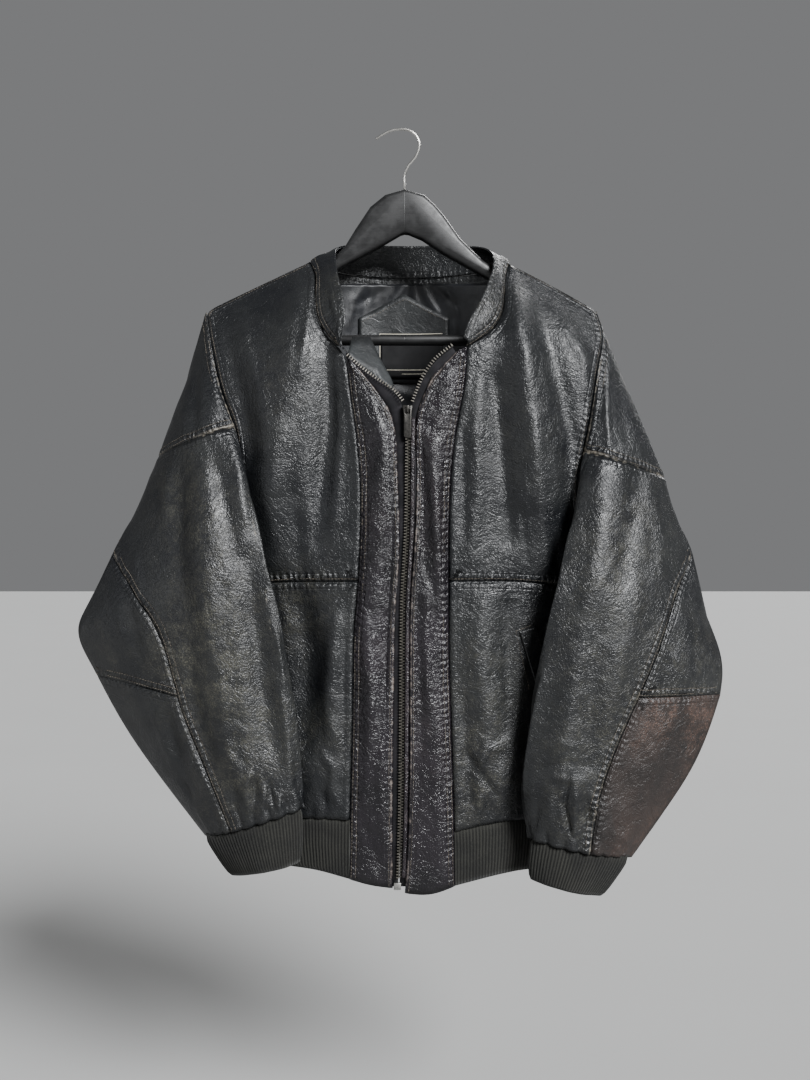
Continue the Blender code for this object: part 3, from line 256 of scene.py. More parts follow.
# Seam lines in millimetres, as they lie on the pieces
seamLines = {
    "bandLeft": [(-55, -66, -250), (-50, -69, -299), (-43, -72, -347), (-40, -73, -396), (-40, -74, -445),
        (-43, -74, -495), (-47, -74, -544), (-48, -74, -593), (-49, -74, -642), (-50, -73, -691),
        (-51, -71, -740), (-52, -66, -789)],
    "lipLeft": [(-47, -67, -262), (-20, -71, -294), (-4, -75, -331), (-2, -78, -374), (0, -80, -416),
        (0, -80, -458), (-3, -80, -501), (-5, -80, -543), (-6, -80, -585), (-6, -79, -628), (-7, -78, -670),
        (-7, -76, -712), (-7, -74, -755), (-7, -70, -797)],
    "chestLeft": [(-42, -74, -484), (-78, -70, -484), (-114, -63, -485), (-149, -51, -487),
        (-179, -32, -489), (-206, -7, -491)],
    "shoulderLeft": [(-98, 5, -141), (-126, 3, -155), (-154, 2, -168), (-181, 0, -182), (-209, -2, -196)],
    "armFrontLeft": [(-209, -2, -196), (-202, -18, -226), (-194, -32, -257), (-185, -41, -289),
        (-173, -49, -320), (-167, -52, -354), (-168, -50, -388), (-179, -40, -420), (-191, -28, -450),
        (-205, -16, -479)],
    "armBackLeft": [(-209, -2, -196), (-205, 17, -225), (-198, 30, -257), (-191, 39, -290),
        (-187, 42, -324), (-186, 46, -359), (-189, 43, -394), (-194, 26, -424), (-199, 6, -452),
        (-205, -16, -479)],
    "sideLeft": [(-205, -16, -479), (-207, 1, -529), (-207, 8, -582), (-204, 11, -636), (-192, 8, -688),
        (-165, -2, -734)],
    "capLeft": [(-171, -50, -324), (-193, -65, -331), (-218, -55, -339), (-239, -38, -346),
        (-257, -17, -352), (-259, 9, -352), (-242, 31, -347), (-226, 42, -343), (-206, 43, -339),
        (-186, 43, -335)],
    "elbowLeft": [(-242, 31, -347), (-259, 21, -385), (-281, 6, -419), (-302, -13, -451), (-291, -41, -476),
        (-268, -66, -502), (-244, -80, -535), (-231, -82, -576), (-219, -84, -617), (-203, -87, -656),
        (-186, -88, -696), (-170, -87, -736)],
    "underLeft": [(-171, -50, -324), (-168, -51, -377), (-181, -37, -427), (-202, -18, -473),
        (-204, -32, -523), (-191, -41, -574), (-174, -45, -625), (-157, -47, -675), (-137, -53, -725)],
    "elbowAcrossLeft": [(-224, -83, -600), (-257, -69, -594), (-288, -53, -588), (-318, -32, -584),
        (-286, -25, -578), (-250, -27, -577), (-215, -34, -583), (-184, -43, -597)],
    "neckLeft": [(-98, 5, -141), (-91, -14, -161), (-90, -32, -184), (-87, -47, -208), (-75, -58, -232),
        (-55, -66, -250)],
    "bandRight": [(69, -66, -244), (65, -69, -294), (55, -72, -343), (51, -73, -394), (50, -74, -444),
        (50, -74, -494), (50, -74, -545), (51, -74, -595), (53, -74, -645), (55, -73, -696),
        (56, -71, -746), (57, -66, -796)],
    "lipRight": [(57, -68, -250), (29, -71, -283), (15, -75, -323), (17, -78, -367), (17, -80, -410),
        (14, -80, -454), (11, -80, -497), (10, -80, -541), (10, -80, -584), (10, -79, -628),
        (10, -78, -672), (9, -77, -715), (8, -74, -759), (5, -70, -802)],
    "chestRight": [(50, -74, -484), (87, -70, -484), (124, -63, -485), (159, -51, -488), (191, -32, -493),
        (219, -8, -499)],
    "shoulderRight": [(118, 5, -143), (142, 4, -155), (165, 2, -168), (188, 0, -181), (211, -2, -195)],
    "armFrontRight": [(211, -2, -195), (216, -18, -226), (209, -32, -257), (202, -42, -291),
        (196, -49, -325), (189, -53, -359), (186, -53, -394), (192, -45, -427), (205, -31, -458),
        (219, -17, -486)],
    "armBackRight": [(211, -2, -195), (212, 18, -225), (206, 31, -258), (201, 38, -293), (197, 42, -329),
        (196, 45, -365), (199, 44, -401), (204, 29, -433), (212, 7, -460), (219, -17, -486)],
    "sideRight": [(219, -17, -486), (220, 1, -536), (219, 9, -589), (217, 11, -643), (204, 8, -694),
        (175, -2, -738)],
    "capRight": [(190, -52, -350), (213, -66, -357), (239, -56, -364), (262, -39, -370), (281, -18, -375),
        (284, 8, -376), (266, 30, -371), (245, 42, -365), (220, 43, -358), (196, 43, -350)],
    "elbowRight": [(266, 30, -371), (282, 18, -407), (301, -2, -438), (306, -26, -466), (288, -52, -493),
        (274, -69, -528), (258, -80, -564), (241, -86, -601), (223, -90, -638), (208, -92, -676),
        (197, -93, -716), (191, -91, -757)],
    "underRight": [(190, -52, -350), (186, -52, -403), (201, -35, -450), (219, -20, -495), (219, -35, -546),
        (211, -42, -598), (199, -45, -650), (182, -47, -701), (171, -53, -752)],
    "elbowAcrossRight": [(241, -86, -601), (272, -72, -602), (303, -57, -603), (331, -37, -604),
        (312, -25, -603), (278, -26, -602), (244, -32, -601), (211, -42, -600)],
    "neckRight": [(118, 5, -143), (112, -13, -164), (110, -31, -185), (106, -47, -209), (92, -58, -229),
        (69, -66, -244)],
    "pocketTop": [(138, -68, -531), (121, -68, -536)],
    "pocketEdge": [(121, -68, -538), (126, -67, -556), (132, -66, -575), (137, -65, -595)],
    "patchLeft": [(-40, 32, -199), (-20, 33, -187), (3, 33, -175)],
    "patchRight": [(49, 32, -199), (27, 33, -187), (6, 33, -175)],
    "neckBack": [(-98, 5, -141), (-67, 33, -147), (-38, 44, -149), (-7, 48, -150), (24, 48, -150),
        (54, 44, -149), (83, 33, -148), (118, 5, -143)],
    "collarTop": [(-61, -70, -238), (-56, -64, -210), (-60, -50, -185), (-65, -33, -162), (-69, -13, -142),
        (-69, 9, -123), (-54, 32, -115), (-28, 44, -113), (1, 47, -113), (30, 46, -113), (58, 42, -113),
        (85, 30, -116), (98, 7, -126), (101, -15, -144), (95, -35, -164), (86, -51, -187), (73, -65, -209),
        (65, -72, -236)],
}
cuffLines = {
    "left": (
        [(-137, -53, -725), (-121, -61, -720), (-105, -70, -715), (-99, -83, -713), (-115, -91, -718),
         (-132, -93, -724), (-150, -92, -730), (-167, -87, -735), (-183, -80, -740), (-198, -70, -745),
         (-192, -58, -744), (-175, -54, -738), (-158, -51, -732)],
        [(-128, -56, -774), (-117, -63, -771), (-106, -70, -768), (-100, -81, -767), (-111, -89, -770),
         (-124, -92, -773), (-138, -91, -776), (-150, -86, -779), (-162, -79, -782), (-172, -70, -784),
         (-171, -60, -784), (-158, -55, -781), (-145, -53, -778)]),
    "right": (
        [(171, -53, -752), (155, -61, -749), (139, -70, -745), (133, -83, -744), (149, -91, -747),
         (166, -93, -751), (184, -92, -755), (201, -87, -759), (218, -80, -763), (233, -70, -767),
         (228, -58, -765), (210, -54, -761), (193, -51, -757)],
        [(160, -56, -792), (148, -63, -789), (136, -70, -786), (131, -82, -784), (142, -89, -787),
         (156, -92, -791), (170, -91, -795), (183, -86, -799), (195, -79, -802), (206, -70, -805),
         (204, -59, -805), (191, -55, -801), (177, -53, -797)]),
}
waistLines = (
    [(-51, -72, -727), (-86, -66, -727), (-119, -55, -728), (-148, -34, -731), (-164, -3, -734),
     (-148, 28, -736), (-117, 42, -738), (-82, 47, -739), (-46, 50, -739), (-11, 50, -740), (25, 50, -740),
     (60, 49, -740), (95, 46, -739), (131, 41, -739), (160, 24, -738), (172, -7, -738), (154, -38, -734),
     (124, -55, -731), (90, -65, -733), (56, -72, -739)],
    [(-52, -66, -789), (-84, -60, -782), (-115, -50, -780), (-142, -31, -781), (-158, -2, -784),
     (-139, 25, -786), (-109, 37, -788), (-76, 42, -789), (-43, 43, -791), (-9, 44, -792), (24, 44, -792),
     (57, 43, -792), (90, 40, -791), (123, 36, -790), (152, 22, -789), (166, -6, -788), (149, -34, -786),
     (121, -51, -785), (89, -61, -789), (57, -66, -796)])


def smoothLine(points, pitch, closed=False):
    # Even points along a smooth curve through the given ones, in millimetres
    given = np.array(points, float)
    count = len(given)
    steps = 24
    fine = []
    for i in range(count if closed else count - 1):
        if closed:
            a, b, c, d = (given[(i + k) % count] for k in (-1, 0, 1, 2))
        else:
            a, b, c, d = given[max(i - 1, 0)], given[i], given[i + 1], given[min(i + 2, count - 1)]
        for t in np.arange(steps) / steps:
            bend, twist = 2 * a - 5 * b + 4 * c - d, 3 * b - a - 3 * c + d
            fine.append(0.5 * (2 * b + (c - a) * t + bend * t**2 + twist * t**3))
    fine.append(given[0] if closed else given[-1])
    fine = np.array(fine)
    run = np.concatenate([[0.0], np.cumsum(np.linalg.norm(np.diff(fine, axis=0), axis=1))])
    wanted = np.linspace(0.0, run[-1], max(3, int(round(run[-1] / pitch)) + 1))
    return np.stack([np.interp(wanted, run, fine[:, k]) for k in range(3)], axis=1), wanted


seams = {name: smoothLine(points, 1.5) for name, points in seamLines.items()}
for side in ("left", "right"):
    seams["cuffTop" + side.title()] = smoothLine(cuffLines[side][0], 1.5, True)
seams["waistTop"] = smoothLine(waistLines[0], 1.5)
print("seams ready")


def startMaterial(name):
    material = bpy.data.materials.new(name)
    material.use_nodes = True
    tree = material.node_tree
    return material, tree, tree.nodes["Principled BSDF"]


def addNode(tree, kind, settings=None, **inputs):
    node = tree.nodes.new(kind)
    for key, value in (settings or {}).items():
        setattr(node, key, value)
    for key, value in inputs.items():
        socket = node.inputs[key.replace("_", " ")]
        if hasattr(value, "is_output"):
            tree.links.new(value, socket)
        else:
            socket.default_value = value
    return node


def objectPlace(tree):
    return addNode(tree, "ShaderNodeTexCoord").outputs["Object"]


def ramp(tree, value, low, high, start=0.0, end=1.0):
    node = addNode(tree, "ShaderNodeMapRange", {"clamp": True, "interpolation_type": "SMOOTHSTEP"}, Value=value)
    node.inputs["From Min"].default_value, node.inputs["From Max"].default_value = low, high
    node.inputs["To Min"].default_value, node.inputs["To Max"].default_value = start, end
    return node.outputs["Result"]


def mixColour(tree, amount, first, second, blend="MIX"):
    node = addNode(tree, "ShaderNodeMix", {"data_type": "RGBA", "blend_type": blend})
    for socket, value in ((node.inputs[0], amount), (node.inputs[6], first), (node.inputs[7], second)):
        if hasattr(value, "is_output"):
            tree.links.new(value, socket)
        elif isinstance(value, tuple):
            socket.default_value = (*value, 1.0)
        else:
            socket.default_value = value
    return node.outputs[2]


def maths(tree, operation, first, second=0.0, clamp=False):
    node = addNode(tree, "ShaderNodeMath", {"operation": operation, "use_clamp": clamp})
    for socket, value in ((node.inputs[0], first), (node.inputs[1], second)):
        if hasattr(value, "is_output"):
            tree.links.new(value, socket)
        else:
            socket.default_value = value
    return node.outputs[0]


def plus(tree, first, second, clamp=False):
    return maths(tree, "ADD", first, second, clamp)


def minus(tree, first, second):
    return maths(tree, "SUBTRACT", first, second)


def times(tree, first, second):
    return maths(tree, "MULTIPLY", first, second)


def sizeOf(tree, value):
    return maths(tree, "ABSOLUTE", value)


def cracks(tree, place, scale):
    node = addNode(tree, "ShaderNodeTexVoronoi", {"feature": "DISTANCE_TO_EDGE"}, Vector=place, Scale=scale)
    return node.outputs["Distance"]


def addBump(tree, shader, height, strength, distance):
    bump = addNode(tree, "ShaderNodeBump", Strength=strength, Distance=distance, Height=height)
    tree.links.new(bump.outputs["Normal"], shader.inputs["Normal"])


def noiseOf(tree, place, scale, detail=4.0, roughness=0.6, distortion=0.0):
    return addNode(tree, "ShaderNodeTexNoise", Vector=place, Scale=scale, Detail=detail, Roughness=roughness,
                   Distortion=distortion).outputs["Fac"]


def attribute(tree, name):
    return addNode(tree, "ShaderNodeAttribute", {"attribute_name": name}).outputs["Fac"]


# colours of the sound, faded, worn-through and dusty hide, the worn-through one also painting a highlight line;
# roughness; heights of the relief in millimetres
leathers = {
    "coat": {"deep": (0.003, 0.0035, 0.0046), "faded": (0.009, 0.0097, 0.0101),
        "wornAndHighlight": (0.15, 0.135, 0.11), "dust": (0.05, 0.048, 0.036), "gloss": 0.35, "grain": 0.16,
        "crinkle": 0.075, "lines": 0.21, "swell": 0.9},
    "band": {"deep": (0.0036, 0.003, 0.0041), "faded": (0.0102, 0.008, 0.0106),
        "wornAndHighlight": (0.15, 0.125, 0.11), "dust": (0.05, 0.038, 0.04), "gloss": 0.25, "grain": 0.19,
        "crinkle": 0.17, "lines": 0.36, "swell": 0.7},
    "brown": {"deep": (0.0058, 0.0048, 0.0044), "faded": (0.019, 0.0132, 0.0112),
        "wornAndHighlight": (0.15, 0.095, 0.07), "dust": (0.075, 0.043, 0.031), "gloss": 0.4, "grain": 0.15,
        "crinkle": 0.1, "lines": 0.3, "swell": 0.8},
    "facing": {"deep": (0.008, 0.0088, 0.0095), "faded": (0.026, 0.029, 0.03),
        "wornAndHighlight": (0.18, 0.17, 0.15), "dust": (0.08, 0.08, 0.075), "gloss": 0.42, "grain": 0.05,
        "crinkle": 0.05, "lines": 0.15, "swell": 0.6},
}


stitchRows = (2.3, 7.6)  # how far the two rows of sewing lie from a seam, in millimetres


def leatherMaterial(name, look):
    material, tree, shader = startMaterial(name)
    place = objectPlace(tree)
    wear, scuff = attribute(tree, "wear"), attribute(tree, "scuff")
    cloud = noiseOf(tree, place, 16.0, 5.0, 0.62)
    fine = noiseOf(tree, place, 260.0, 6.0, 0.7)
    rub = noiseOf(tree, place, 75.0, 7.0, 0.72, 0.4)
    colour = mixColour(tree, ramp(tree, cloud, 0.35, 0.70), look["deep"], look["faded"])
    # rubbed places: soft olive greying where the scuff attribute says, broken up by the grain
    dust = times(tree, scuff, ramp(tree, rub, 0.40, 0.66, 0.12, 0.9))
    speck = noiseOf(tree, place, 620.0, 3.0, 0.8)
    dust = times(tree, dust, ramp(tree, speck, 0.46, 0.66, 0.25, 1.6))
    colour = mixColour(tree, dust, colour, look["dust"])
    # edges worn through to the pale hide, and the painted highlight along a lit crease in the same pale colour
    edge = plus(tree, times(tree, wear, 1.1), minus(tree, fine, 0.62))
    edge = plus(tree, edge, times(tree, minus(tree, rub, 0.55), 1.8))
    edge = ramp(tree, edge, 0.45, 1.05, 0.0, 0.85)
    edge = times(tree, edge, ramp(tree, wear, 0.04, 0.30))
    colour = mixColour(tree, edge, colour, look["wornAndHighlight"])
    tree.links.new(colour, shader.inputs["Base Color"])
    rough = noiseOf(tree, place, 42.0, 5.0, 0.65)
    rough = ramp(tree, rough, 0.3, 0.7, look["gloss"] - 0.05, look["gloss"] + 0.10)
    rough = plus(tree, rough, times(tree, plus(tree, dust, edge), 0.16), True)
    tree.links.new(rough, shader.inputs["Roughness"])
    # pebbled grain, crinkled plates, wrinkles that run on for a finger's width and slow swells
    warpNoise = addNode(tree, "ShaderNodeTexNoise", Vector=place, Scale=90.0, Detail=3.0, Roughness=0.6)
    warp = addNode(tree, "ShaderNodeMix", {"data_type": "VECTOR"})
    warp.inputs[0].default_value = 0.008
    tree.links.new(place, warp.inputs[4])
    tree.links.new(warpNoise.outputs["Color"], warp.inputs[5])
    warped = warp.outputs[1]
    pebble, plates, broad = (cracks(tree, warped, scale) for scale in (430.0, 210.0, 85.0))
    patchy = ramp(tree, noiseOf(tree, place, 30.0, 3.0), 0.36, 0.62, 0.25, 1.0)
    height = times(tree, ramp(tree, pebble, 0.0, 0.30), look["grain"])
    crinkle = plus(tree, ramp(tree, plates, 0.0, 0.16), times(tree, ramp(tree, broad, 0.0, 0.07), 1.2))
    height = plus(tree, height, times(tree, times(tree, crinkle, patchy), look["crinkle"]))
    ridges = sizeOf(tree, minus(tree, noiseOf(tree, place, 46.0, 5.0, 0.55, 1.2), 0.5))
    height = plus(tree, height, times(tree, ramp(tree, ridges, 0.0, 0.09), look["lines"]))
    swell = noiseOf(tree, place, 26.0, 3.0, 0.5, 0.5)
    height = plus(tree, height, times(tree, swell, look["swell"]))
    height = plus(tree, height, times(tree, noiseOf(tree, place, 900.0, 3.0, 0.7), 0.05))
    # the pull of the sewing: a groove under each row and small puckers between the stitches
    away, along, pucker = attribute(tree, "seamAway"), attribute(tree, "seamAlong"), attribute(tree, "pucker")
    drift = times(tree, noiseOf(tree, place, 70.0, 3.0), 9.0)
    wave = maths(tree, "SINE", plus(tree, times(tree, along, 0.92), drift))
    reach = times(tree, ramp(tree, away, 1.0, 3.2), ramp(tree, away, 4.0, 13.0, 1.0, 0.0))
    height = plus(tree, height, times(tree, times(tree, wave, reach), times(tree, pucker, 0.75)))
    for row in stitchRows:
        offRow = sizeOf(tree, minus(tree, away, row))
        groove = times(tree, ramp(tree, offRow, 0.2, 1.4, 1.0, 0.0), ramp(tree, pucker, 0.0, 0.3))
        height = minus(tree, height, times(tree, groove, 0.28))
    addBump(tree, shader, height, 1.0, mm)
    shader.inputs["Specular IOR Level"].default_value = 0.42
    return material


def clothMaterial(name, dark, light, rough, weaveScale, weaveDepth, sheen=0.0, gloss=0.2):
    material, tree, shader = startMaterial(name)
    place = objectPlace(tree)
    cloud = noiseOf(tree, place, 60.0, 5.0, 0.6)
    tree.links.new(mixColour(tree, ramp(tree, cloud, 0.35, 0.65), dark, light), shader.inputs["Base Color"])
    rougher = ramp(tree, noiseOf(tree, place, 140.0), 0.3, 0.7, rough - 0.05, rough + 0.06)
    tree.links.new(rougher, shader.inputs["Roughness"])
    weave, cross = (addNode(tree, "ShaderNodeTexWave", {"wave_type": "BANDS", "bands_direction": way},
                            Vector=place, Scale=weaveScale, Distortion=0.4).outputs["Fac"] for way in ("Z", "X"))
    addBump(tree, shader, plus(tree, weave, cross), 0.5, weaveDepth)
    shader.inputs["Specular IOR Level"].default_value = gloss
    shader.inputs["Sheen Weight"].default_value = sheen
    return material


def knitMaterial():
    # small stitches down each rib, from the piece's own UV map: U counts ribs, V runs down in metres
    material, tree, shader = startMaterial("rib_wool")
    place = objectPlace(tree)
    uv = addNode(tree, "ShaderNodeUVMap", {"uv_map": "ribs"}).outputs["UV"]
    split = addNode(tree, "ShaderNodeSeparateXYZ", Vector=uv)
    lean = sizeOf(tree, minus(tree, maths(tree, "FRACT", split.outputs["X"]), 0.5))
    row = plus(tree, times(tree, split.outputs["Y"], 2900.0), times(tree, lean, 7.0))
    stitch = plus(tree, times(tree, maths(tree, "SINE", row), 0.5), 0.5)
    fuzz = noiseOf(tree, place, 900.0, 5.0, 0.7)
    fade = noiseOf(tree, place, 22.0, 5.0, 0.6)
    colour = mixColour(tree, ramp(tree, fade, 0.35, 0.68), (0.0072, 0.0074, 0.0066), (0.0185, 0.0184, 0.0152))
    # the hollows between the ribs are painted near black: painted shade
    valleyShade = attribute(tree, "valleyShade")
    colour = mixColour(tree, times(tree, valleyShade, 0.95), colour, (0.0015, 0.0015, 0.0014))
    colour = mixColour(tree, ramp(tree, fuzz, 0.5, 0.75, 0.0, 0.45), colour, (0.050, 0.049, 0.041))
    tree.links.new(colour, shader.inputs["Base Color"])
    shader.inputs["Roughness"].default_value = 0.9
    shader.inputs["Specular IOR Level"].default_value = 0.25
    shader.inputs["Sheen Weight"].default_value = 0.08
    height = plus(tree, times(tree, stitch, 0.7), times(tree, fuzz, 0.5))
    addBump(tree, shader, height, 0.7, 0.0004)
    return material


def metalMaterial(name, bright, dull, rough, metallic=1.0):
    material, tree, shader = startMaterial(name)
    place = objectPlace(tree)
    tarnish = noiseOf(tree, place, 350.0, 6.0, 0.7)
    tree.links.new(mixColour(tree, ramp(tree, tarnish, 0.35, 0.68), bright, dull), shader.inputs["Base Color"])
    tree.links.new(ramp(tree, tarnish, 0.3, 0.7, rough, rough + 0.2), shader.inputs["Roughness"])
    shader.inputs["Metallic"].default_value = metallic
    addBump(tree, shader, noiseOf(tree, place, 1600.0), 0.25, 0.00008)
    return material


def paintedWood():
    # black satin paint over long grain, with the fine line where the two shoulders are joined
    material, tree, shader = startMaterial("painted_wood_black")
    place = objectPlace(tree)
    split = addNode(tree, "ShaderNodeSeparateXYZ", Vector=place)
    long = addNode(tree, "ShaderNodeMapping", Vector=place, Scale=(14.0, 60.0, 160.0)).outputs["Vector"]
    grain = noiseOf(tree, long, 3.0, 6.0, 0.65, 0.6)
    spots = noiseOf(tree, place, 90.0, 4.0, 0.6)
    colour = mixColour(tree, ramp(tree, grain, 0.35, 0.7), (0.0042, 0.0042, 0.0043), (0.0085, 0.0085, 0.0088))
    joint = sizeOf(tree, minus(tree, split.outputs["X"], 0.0054))
    joint = ramp(tree, joint, 0.00012, 0.0004, 1.0, 0.0)
    colour = mixColour(tree, times(tree, joint, 0.8), colour, (0.003, 0.003, 0.003))
    tree.links.new(colour, shader.inputs["Base Color"])
    tree.links.new(ramp(tree, spots, 0.3, 0.7, 0.38, 0.52), shader.inputs["Roughness"])
    height = minus(tree, times(tree, grain, 0.5), joint)
    addBump(tree, shader, height, 0.35, 0.0003)
    return material


blackLeather = leatherMaterial("leather_black_worn", leathers["coat"])
bandLeather = leatherMaterial("leather_band_pebbled", leathers["band"])
brownLeather = leatherMaterial("leather_elbow_brown", leathers["brown"])
facingLeather = leatherMaterial("leather_facing_grey", leathers["facing"])
satin = clothMaterial("lining_satin", (0.0040, 0.0044, 0.0054), (0.0095, 0.0103, 0.0125), 0.38, 900.0,
                      0.00003, 0.03, 0.4)
labelWeave = clothMaterial("label_weave", (0.0025, 0.0025, 0.003), (0.005, 0.005, 0.0055), 0.62, 700.0, 0.00006)
labelThread = clothMaterial("label_thread", (0.36, 0.34, 0.28), (0.48, 0.45, 0.38), 0.7, 1200.0, 0.00004)
tapeWeave = clothMaterial("zip_tape_weave", (0.004, 0.004, 0.005), (0.011, 0.010, 0.012), 0.85, 800.0,
                          0.0001, 0.05)
thread = clothMaterial("sewing_thread", (0.032, 0.028, 0.024), (0.15, 0.13, 0.105), 0.7, 1500.0, 0.00003)
ribWool = knitMaterial()
toothMetal = metalMaterial("zip_tooth_metal", (0.36, 0.34, 0.30), (0.12, 0.11, 0.095), 0.30)
closedMetal = metalMaterial("zip_tooth_metal_dark", (0.16, 0.15, 0.13), (0.04, 0.038, 0.034), 0.38)
sliderMetal = metalMaterial("zip_slider_metal", (0.10, 0.095, 0.088), (0.025, 0.025, 0.024), 0.30)
boxMetal = metalMaterial("zip_box_metal", (0.42, 0.41, 0.39), (0.20, 0.20, 0.19), 0.35)
hookSteel = metalMaterial("hook_steel", (0.62, 0.61, 0.58), (0.36, 0.35, 0.33), 0.20)
woodPaint = paintedWood()
print("materials ready")


# the leather: how fine the mesh is, how deep folds and dents go and how high a fold may stand (mm)
clothSettings = {"levels": 3, "rimAngle": 48, "foldDepth": 1.4, "unevenness": 0.45, "highest": 1.5,
                 "wornFrom": 1.6}
# the relief beside a seam, in millimetres from it: rolled rims, a ridge, puckers and the pale worn line
seamRelief = {"reach": 16.0, "roll": 0.9, "rollWide": 1.6, "ridge": 0.5, "ridgeAt": 4.0, "ridgeWide": 2.2,
              "puckerAt": 6.0, "puckerWide": 5.0, "endFade": 12.0, "wornAt": 1.6, "wornWide": 1.4, "calm": 9.0}
# how strongly the two rims of these seams are drawn onto the seam line, and within how many millimetres
closedSeams = {"names": ("side", "neckBack"), "pull": 0.85, "reach": 3.0}
sleeveAxis = {
    "Left": [(-300, -205, 0), (-360, -222, -8), (-430, -228, -25), (-500, -222, -50), (-580, -212, -60),
        (-660, -190, -66), (-740, -150, -72)],
    "Right": [(-300, 222, 0), (-370, 238, -8), (-440, 246, -25), (-510, 240, -50), (-590, 234, -60),
        (-670, 214, -67), (-750, 184, -72)],
}
scuffs = {
    "frontLeft": [(-118, -290, 60, 0.25), (-100, -500, 40, 0.5), (-130, -540, 34, 0.5), (-80, -640, 40, 0.4)],
    "frontRight": [(120, -330, 60, 0.2), (95, -560, 45, 0.35), (80, -640, 50, 0.55), (75, -700, 40, 0.5)],
    "bandLeft": [(-25, -420, 25, 0.25), (-28, -560, 30, 0.2)],
    "bandRight": [(35, -330, 30, 0.3), (34, -420, 40, 0.3), (30, -640, 50, 0.3)],
    "sleeveLeft": [(-200, -430, 45, 0.6), (-180, -520, 55, 0.75), (-190, -590, 50, 0.8),
        (-215, -560, 34, 0.6), (-150, -660, 46, 0.6), (-290, -560, 50, 0.15), (-180, -700, 34, 0.5),
        (-125, -620, 30, 0.35), (-222, -380, 40, 0.4)],
    "sleeveRight": [(215, -470, 50, 0.45), (205, -560, 60, 0.4), (190, -650, 50, 0.5),
        (240, -420, 45, 0.35), (180, -720, 34, 0.55), (290, -620, 50, 0.6), (262, -660, 45, 0.5),
        (290, -560, 45, 0.3), (238, -740, 34, 0.5)],
    "patchRight": [(258, -622, 22, 0.95), (288, -622, 24, 1.0), (316, -628, 24, 1.0), (312, -672, 22, 0.7),
        (292, -708, 22, 0.55), (262, -745, 26, 0.6), (228, -770, 26, 0.5), (240, -640, 20, 0.5)],
    "sleeveLeftBack": [(-270, -560, 60, 0.5)],
    "sleeveRightBack": [(285, -580, 60, 0.6)],
    "back": [(-120, -200, 70, 0.35), (120, -200, 70, 0.35), (0, -460, 90, 0.2), (-60, -690, 60, 0.35),
        (80, -690, 60, 0.35)],
    "collar": [(-80, -170, 40, 0.4), (90, -190, 40, 0.5), (0, -125, 60, 0.3)],
}
# the seams along a piece: how deep their puckers are, how far apart, and how worn the edge is
pieceSeams = {
    "front_upper": [("band", 0.08, 9, 0.2), ("chest", 0.95, 6.5, 0.35), ("armFront", 0.3, 12, 0.45),
        ("neck", 0.2, 10, 0.15), ("shoulder", 0.2, 12, 0.3), ("side", 0.1, 12, 0.1)],
    "front_lower": [("band", 0.1, 8, 0.2), ("chest", 0.35, 8, 0.3), ("side", 0.2, 12, 0.2)],
    "front_band": [("band", 0.75, 5.5, 0.35), ("lip", 0.25, 8, 0.75)],
    "sleeve_cap": [("armFront", 0.5, 9, 0.75), ("armBack", 0.3, 10, 0.4), ("cap", 0.8, 7, 0.95)],
    "sleeve_front": [("cap", 0.3, 9, 0.7), ("elbow", 0.7, 7, 0.8), ("under", 0.2, 12, 0.85)],
    "sleeve_elbow": [("elbow", 0.35, 9, 0.5), ("elbowAcross", 0.8, 6.5, 0.35), ("under", 0.2, 12, 0.2),
        ("cap", 0.3, 9, 0.4)],
    "sleeve_elbow_patch": [("elbow", 0.35, 9, 0.6), ("elbowAcross", 0.3, 9, 0.25), ("under", 0.2, 12, 0.2)],
}
# gathers where a full edge is sewn to a tight rib: the seam, how high, how far apart, how far they reach
pieceGathers = {
    "sleeve_front": ("cuffTop", 3.3, 14.0, 23.0), "sleeve_elbow_patch": ("cuffTop", 3.3, 14.0, 23.0),
    "front_lower": ("waistTop", 1.3, 15.0, 16.0), "back": ("waistTop", 1.5, 15.0, 18.0),
}


def creaseHeight(x, z, rows):
    # x and z in millimetres; each crease is a soft ridge or trough along its line
    total = np.zeros(len(x))
    for points, wide, high in rows:
        best = np.full(len(x), 1e9)
        place = np.zeros(len(x))
        pieces = len(points) - 1
        for k in range(pieces):
            (x0, z0), (x1, z1) = points[k], points[k + 1]
            dx, dz = x1 - x0, z1 - z0
            t = np.clip(((x - x0) * dx + (z - z0) * dz) / (dx * dx + dz * dz), 0, 1)
            away = np.hypot(x - x0 - t * dx, z - z0 - t * dz)
            closer = away < best
            best[closer], place[closer] = away[closer], ((k + t) / pieces)[closer]
        taper = np.sin(np.pi * np.clip(0.12 + 0.76 * place, 0, 1)) ** 0.6
        total += high * taper * np.exp(-(best / wide) ** 2)
    return total


def scuffAmount(x, z, spots):
    total = np.zeros(len(x))
    for sx, sz, reach, amount in spots:
        total += amount * np.exp(-((x - sx) ** 2 + (z - sz) ** 2) / reach ** 2)
    return np.clip(total, 0, 1)


def armAt(side, z):
    # where the middle of the arm is at this height
    axis = np.array(sleeveAxis[side], float)[::-1]
    return np.interp(z, axis[:, 0], axis[:, 1]), np.interp(z, axis[:, 0], axis[:, 2])


def pushField(points, kind, side):
    # The way the cloth moves in and out at each point: straight for the body, round the arm or neck otherwise
    push = np.zeros_like(points)
    if kind == "front":
        push[:, 1] = -1.0
    elif kind == "back":
        push[:, 1] = 1.0
    elif kind == "sleeve":
        ax, ay = armAt(side, points[:, 2])
        push[:, 0], push[:, 1] = 0.16 * (points[:, 0] - ax), points[:, 1] - ay
    else:
        push[:, 0], push[:, 1] = points[:, 0] - 8.0, points[:, 1] + 10.0
    least = 1.0 if kind in ("front", "back") else 4.0
    return push / np.maximum(np.linalg.norm(push, axis=1, keepdims=True), least)


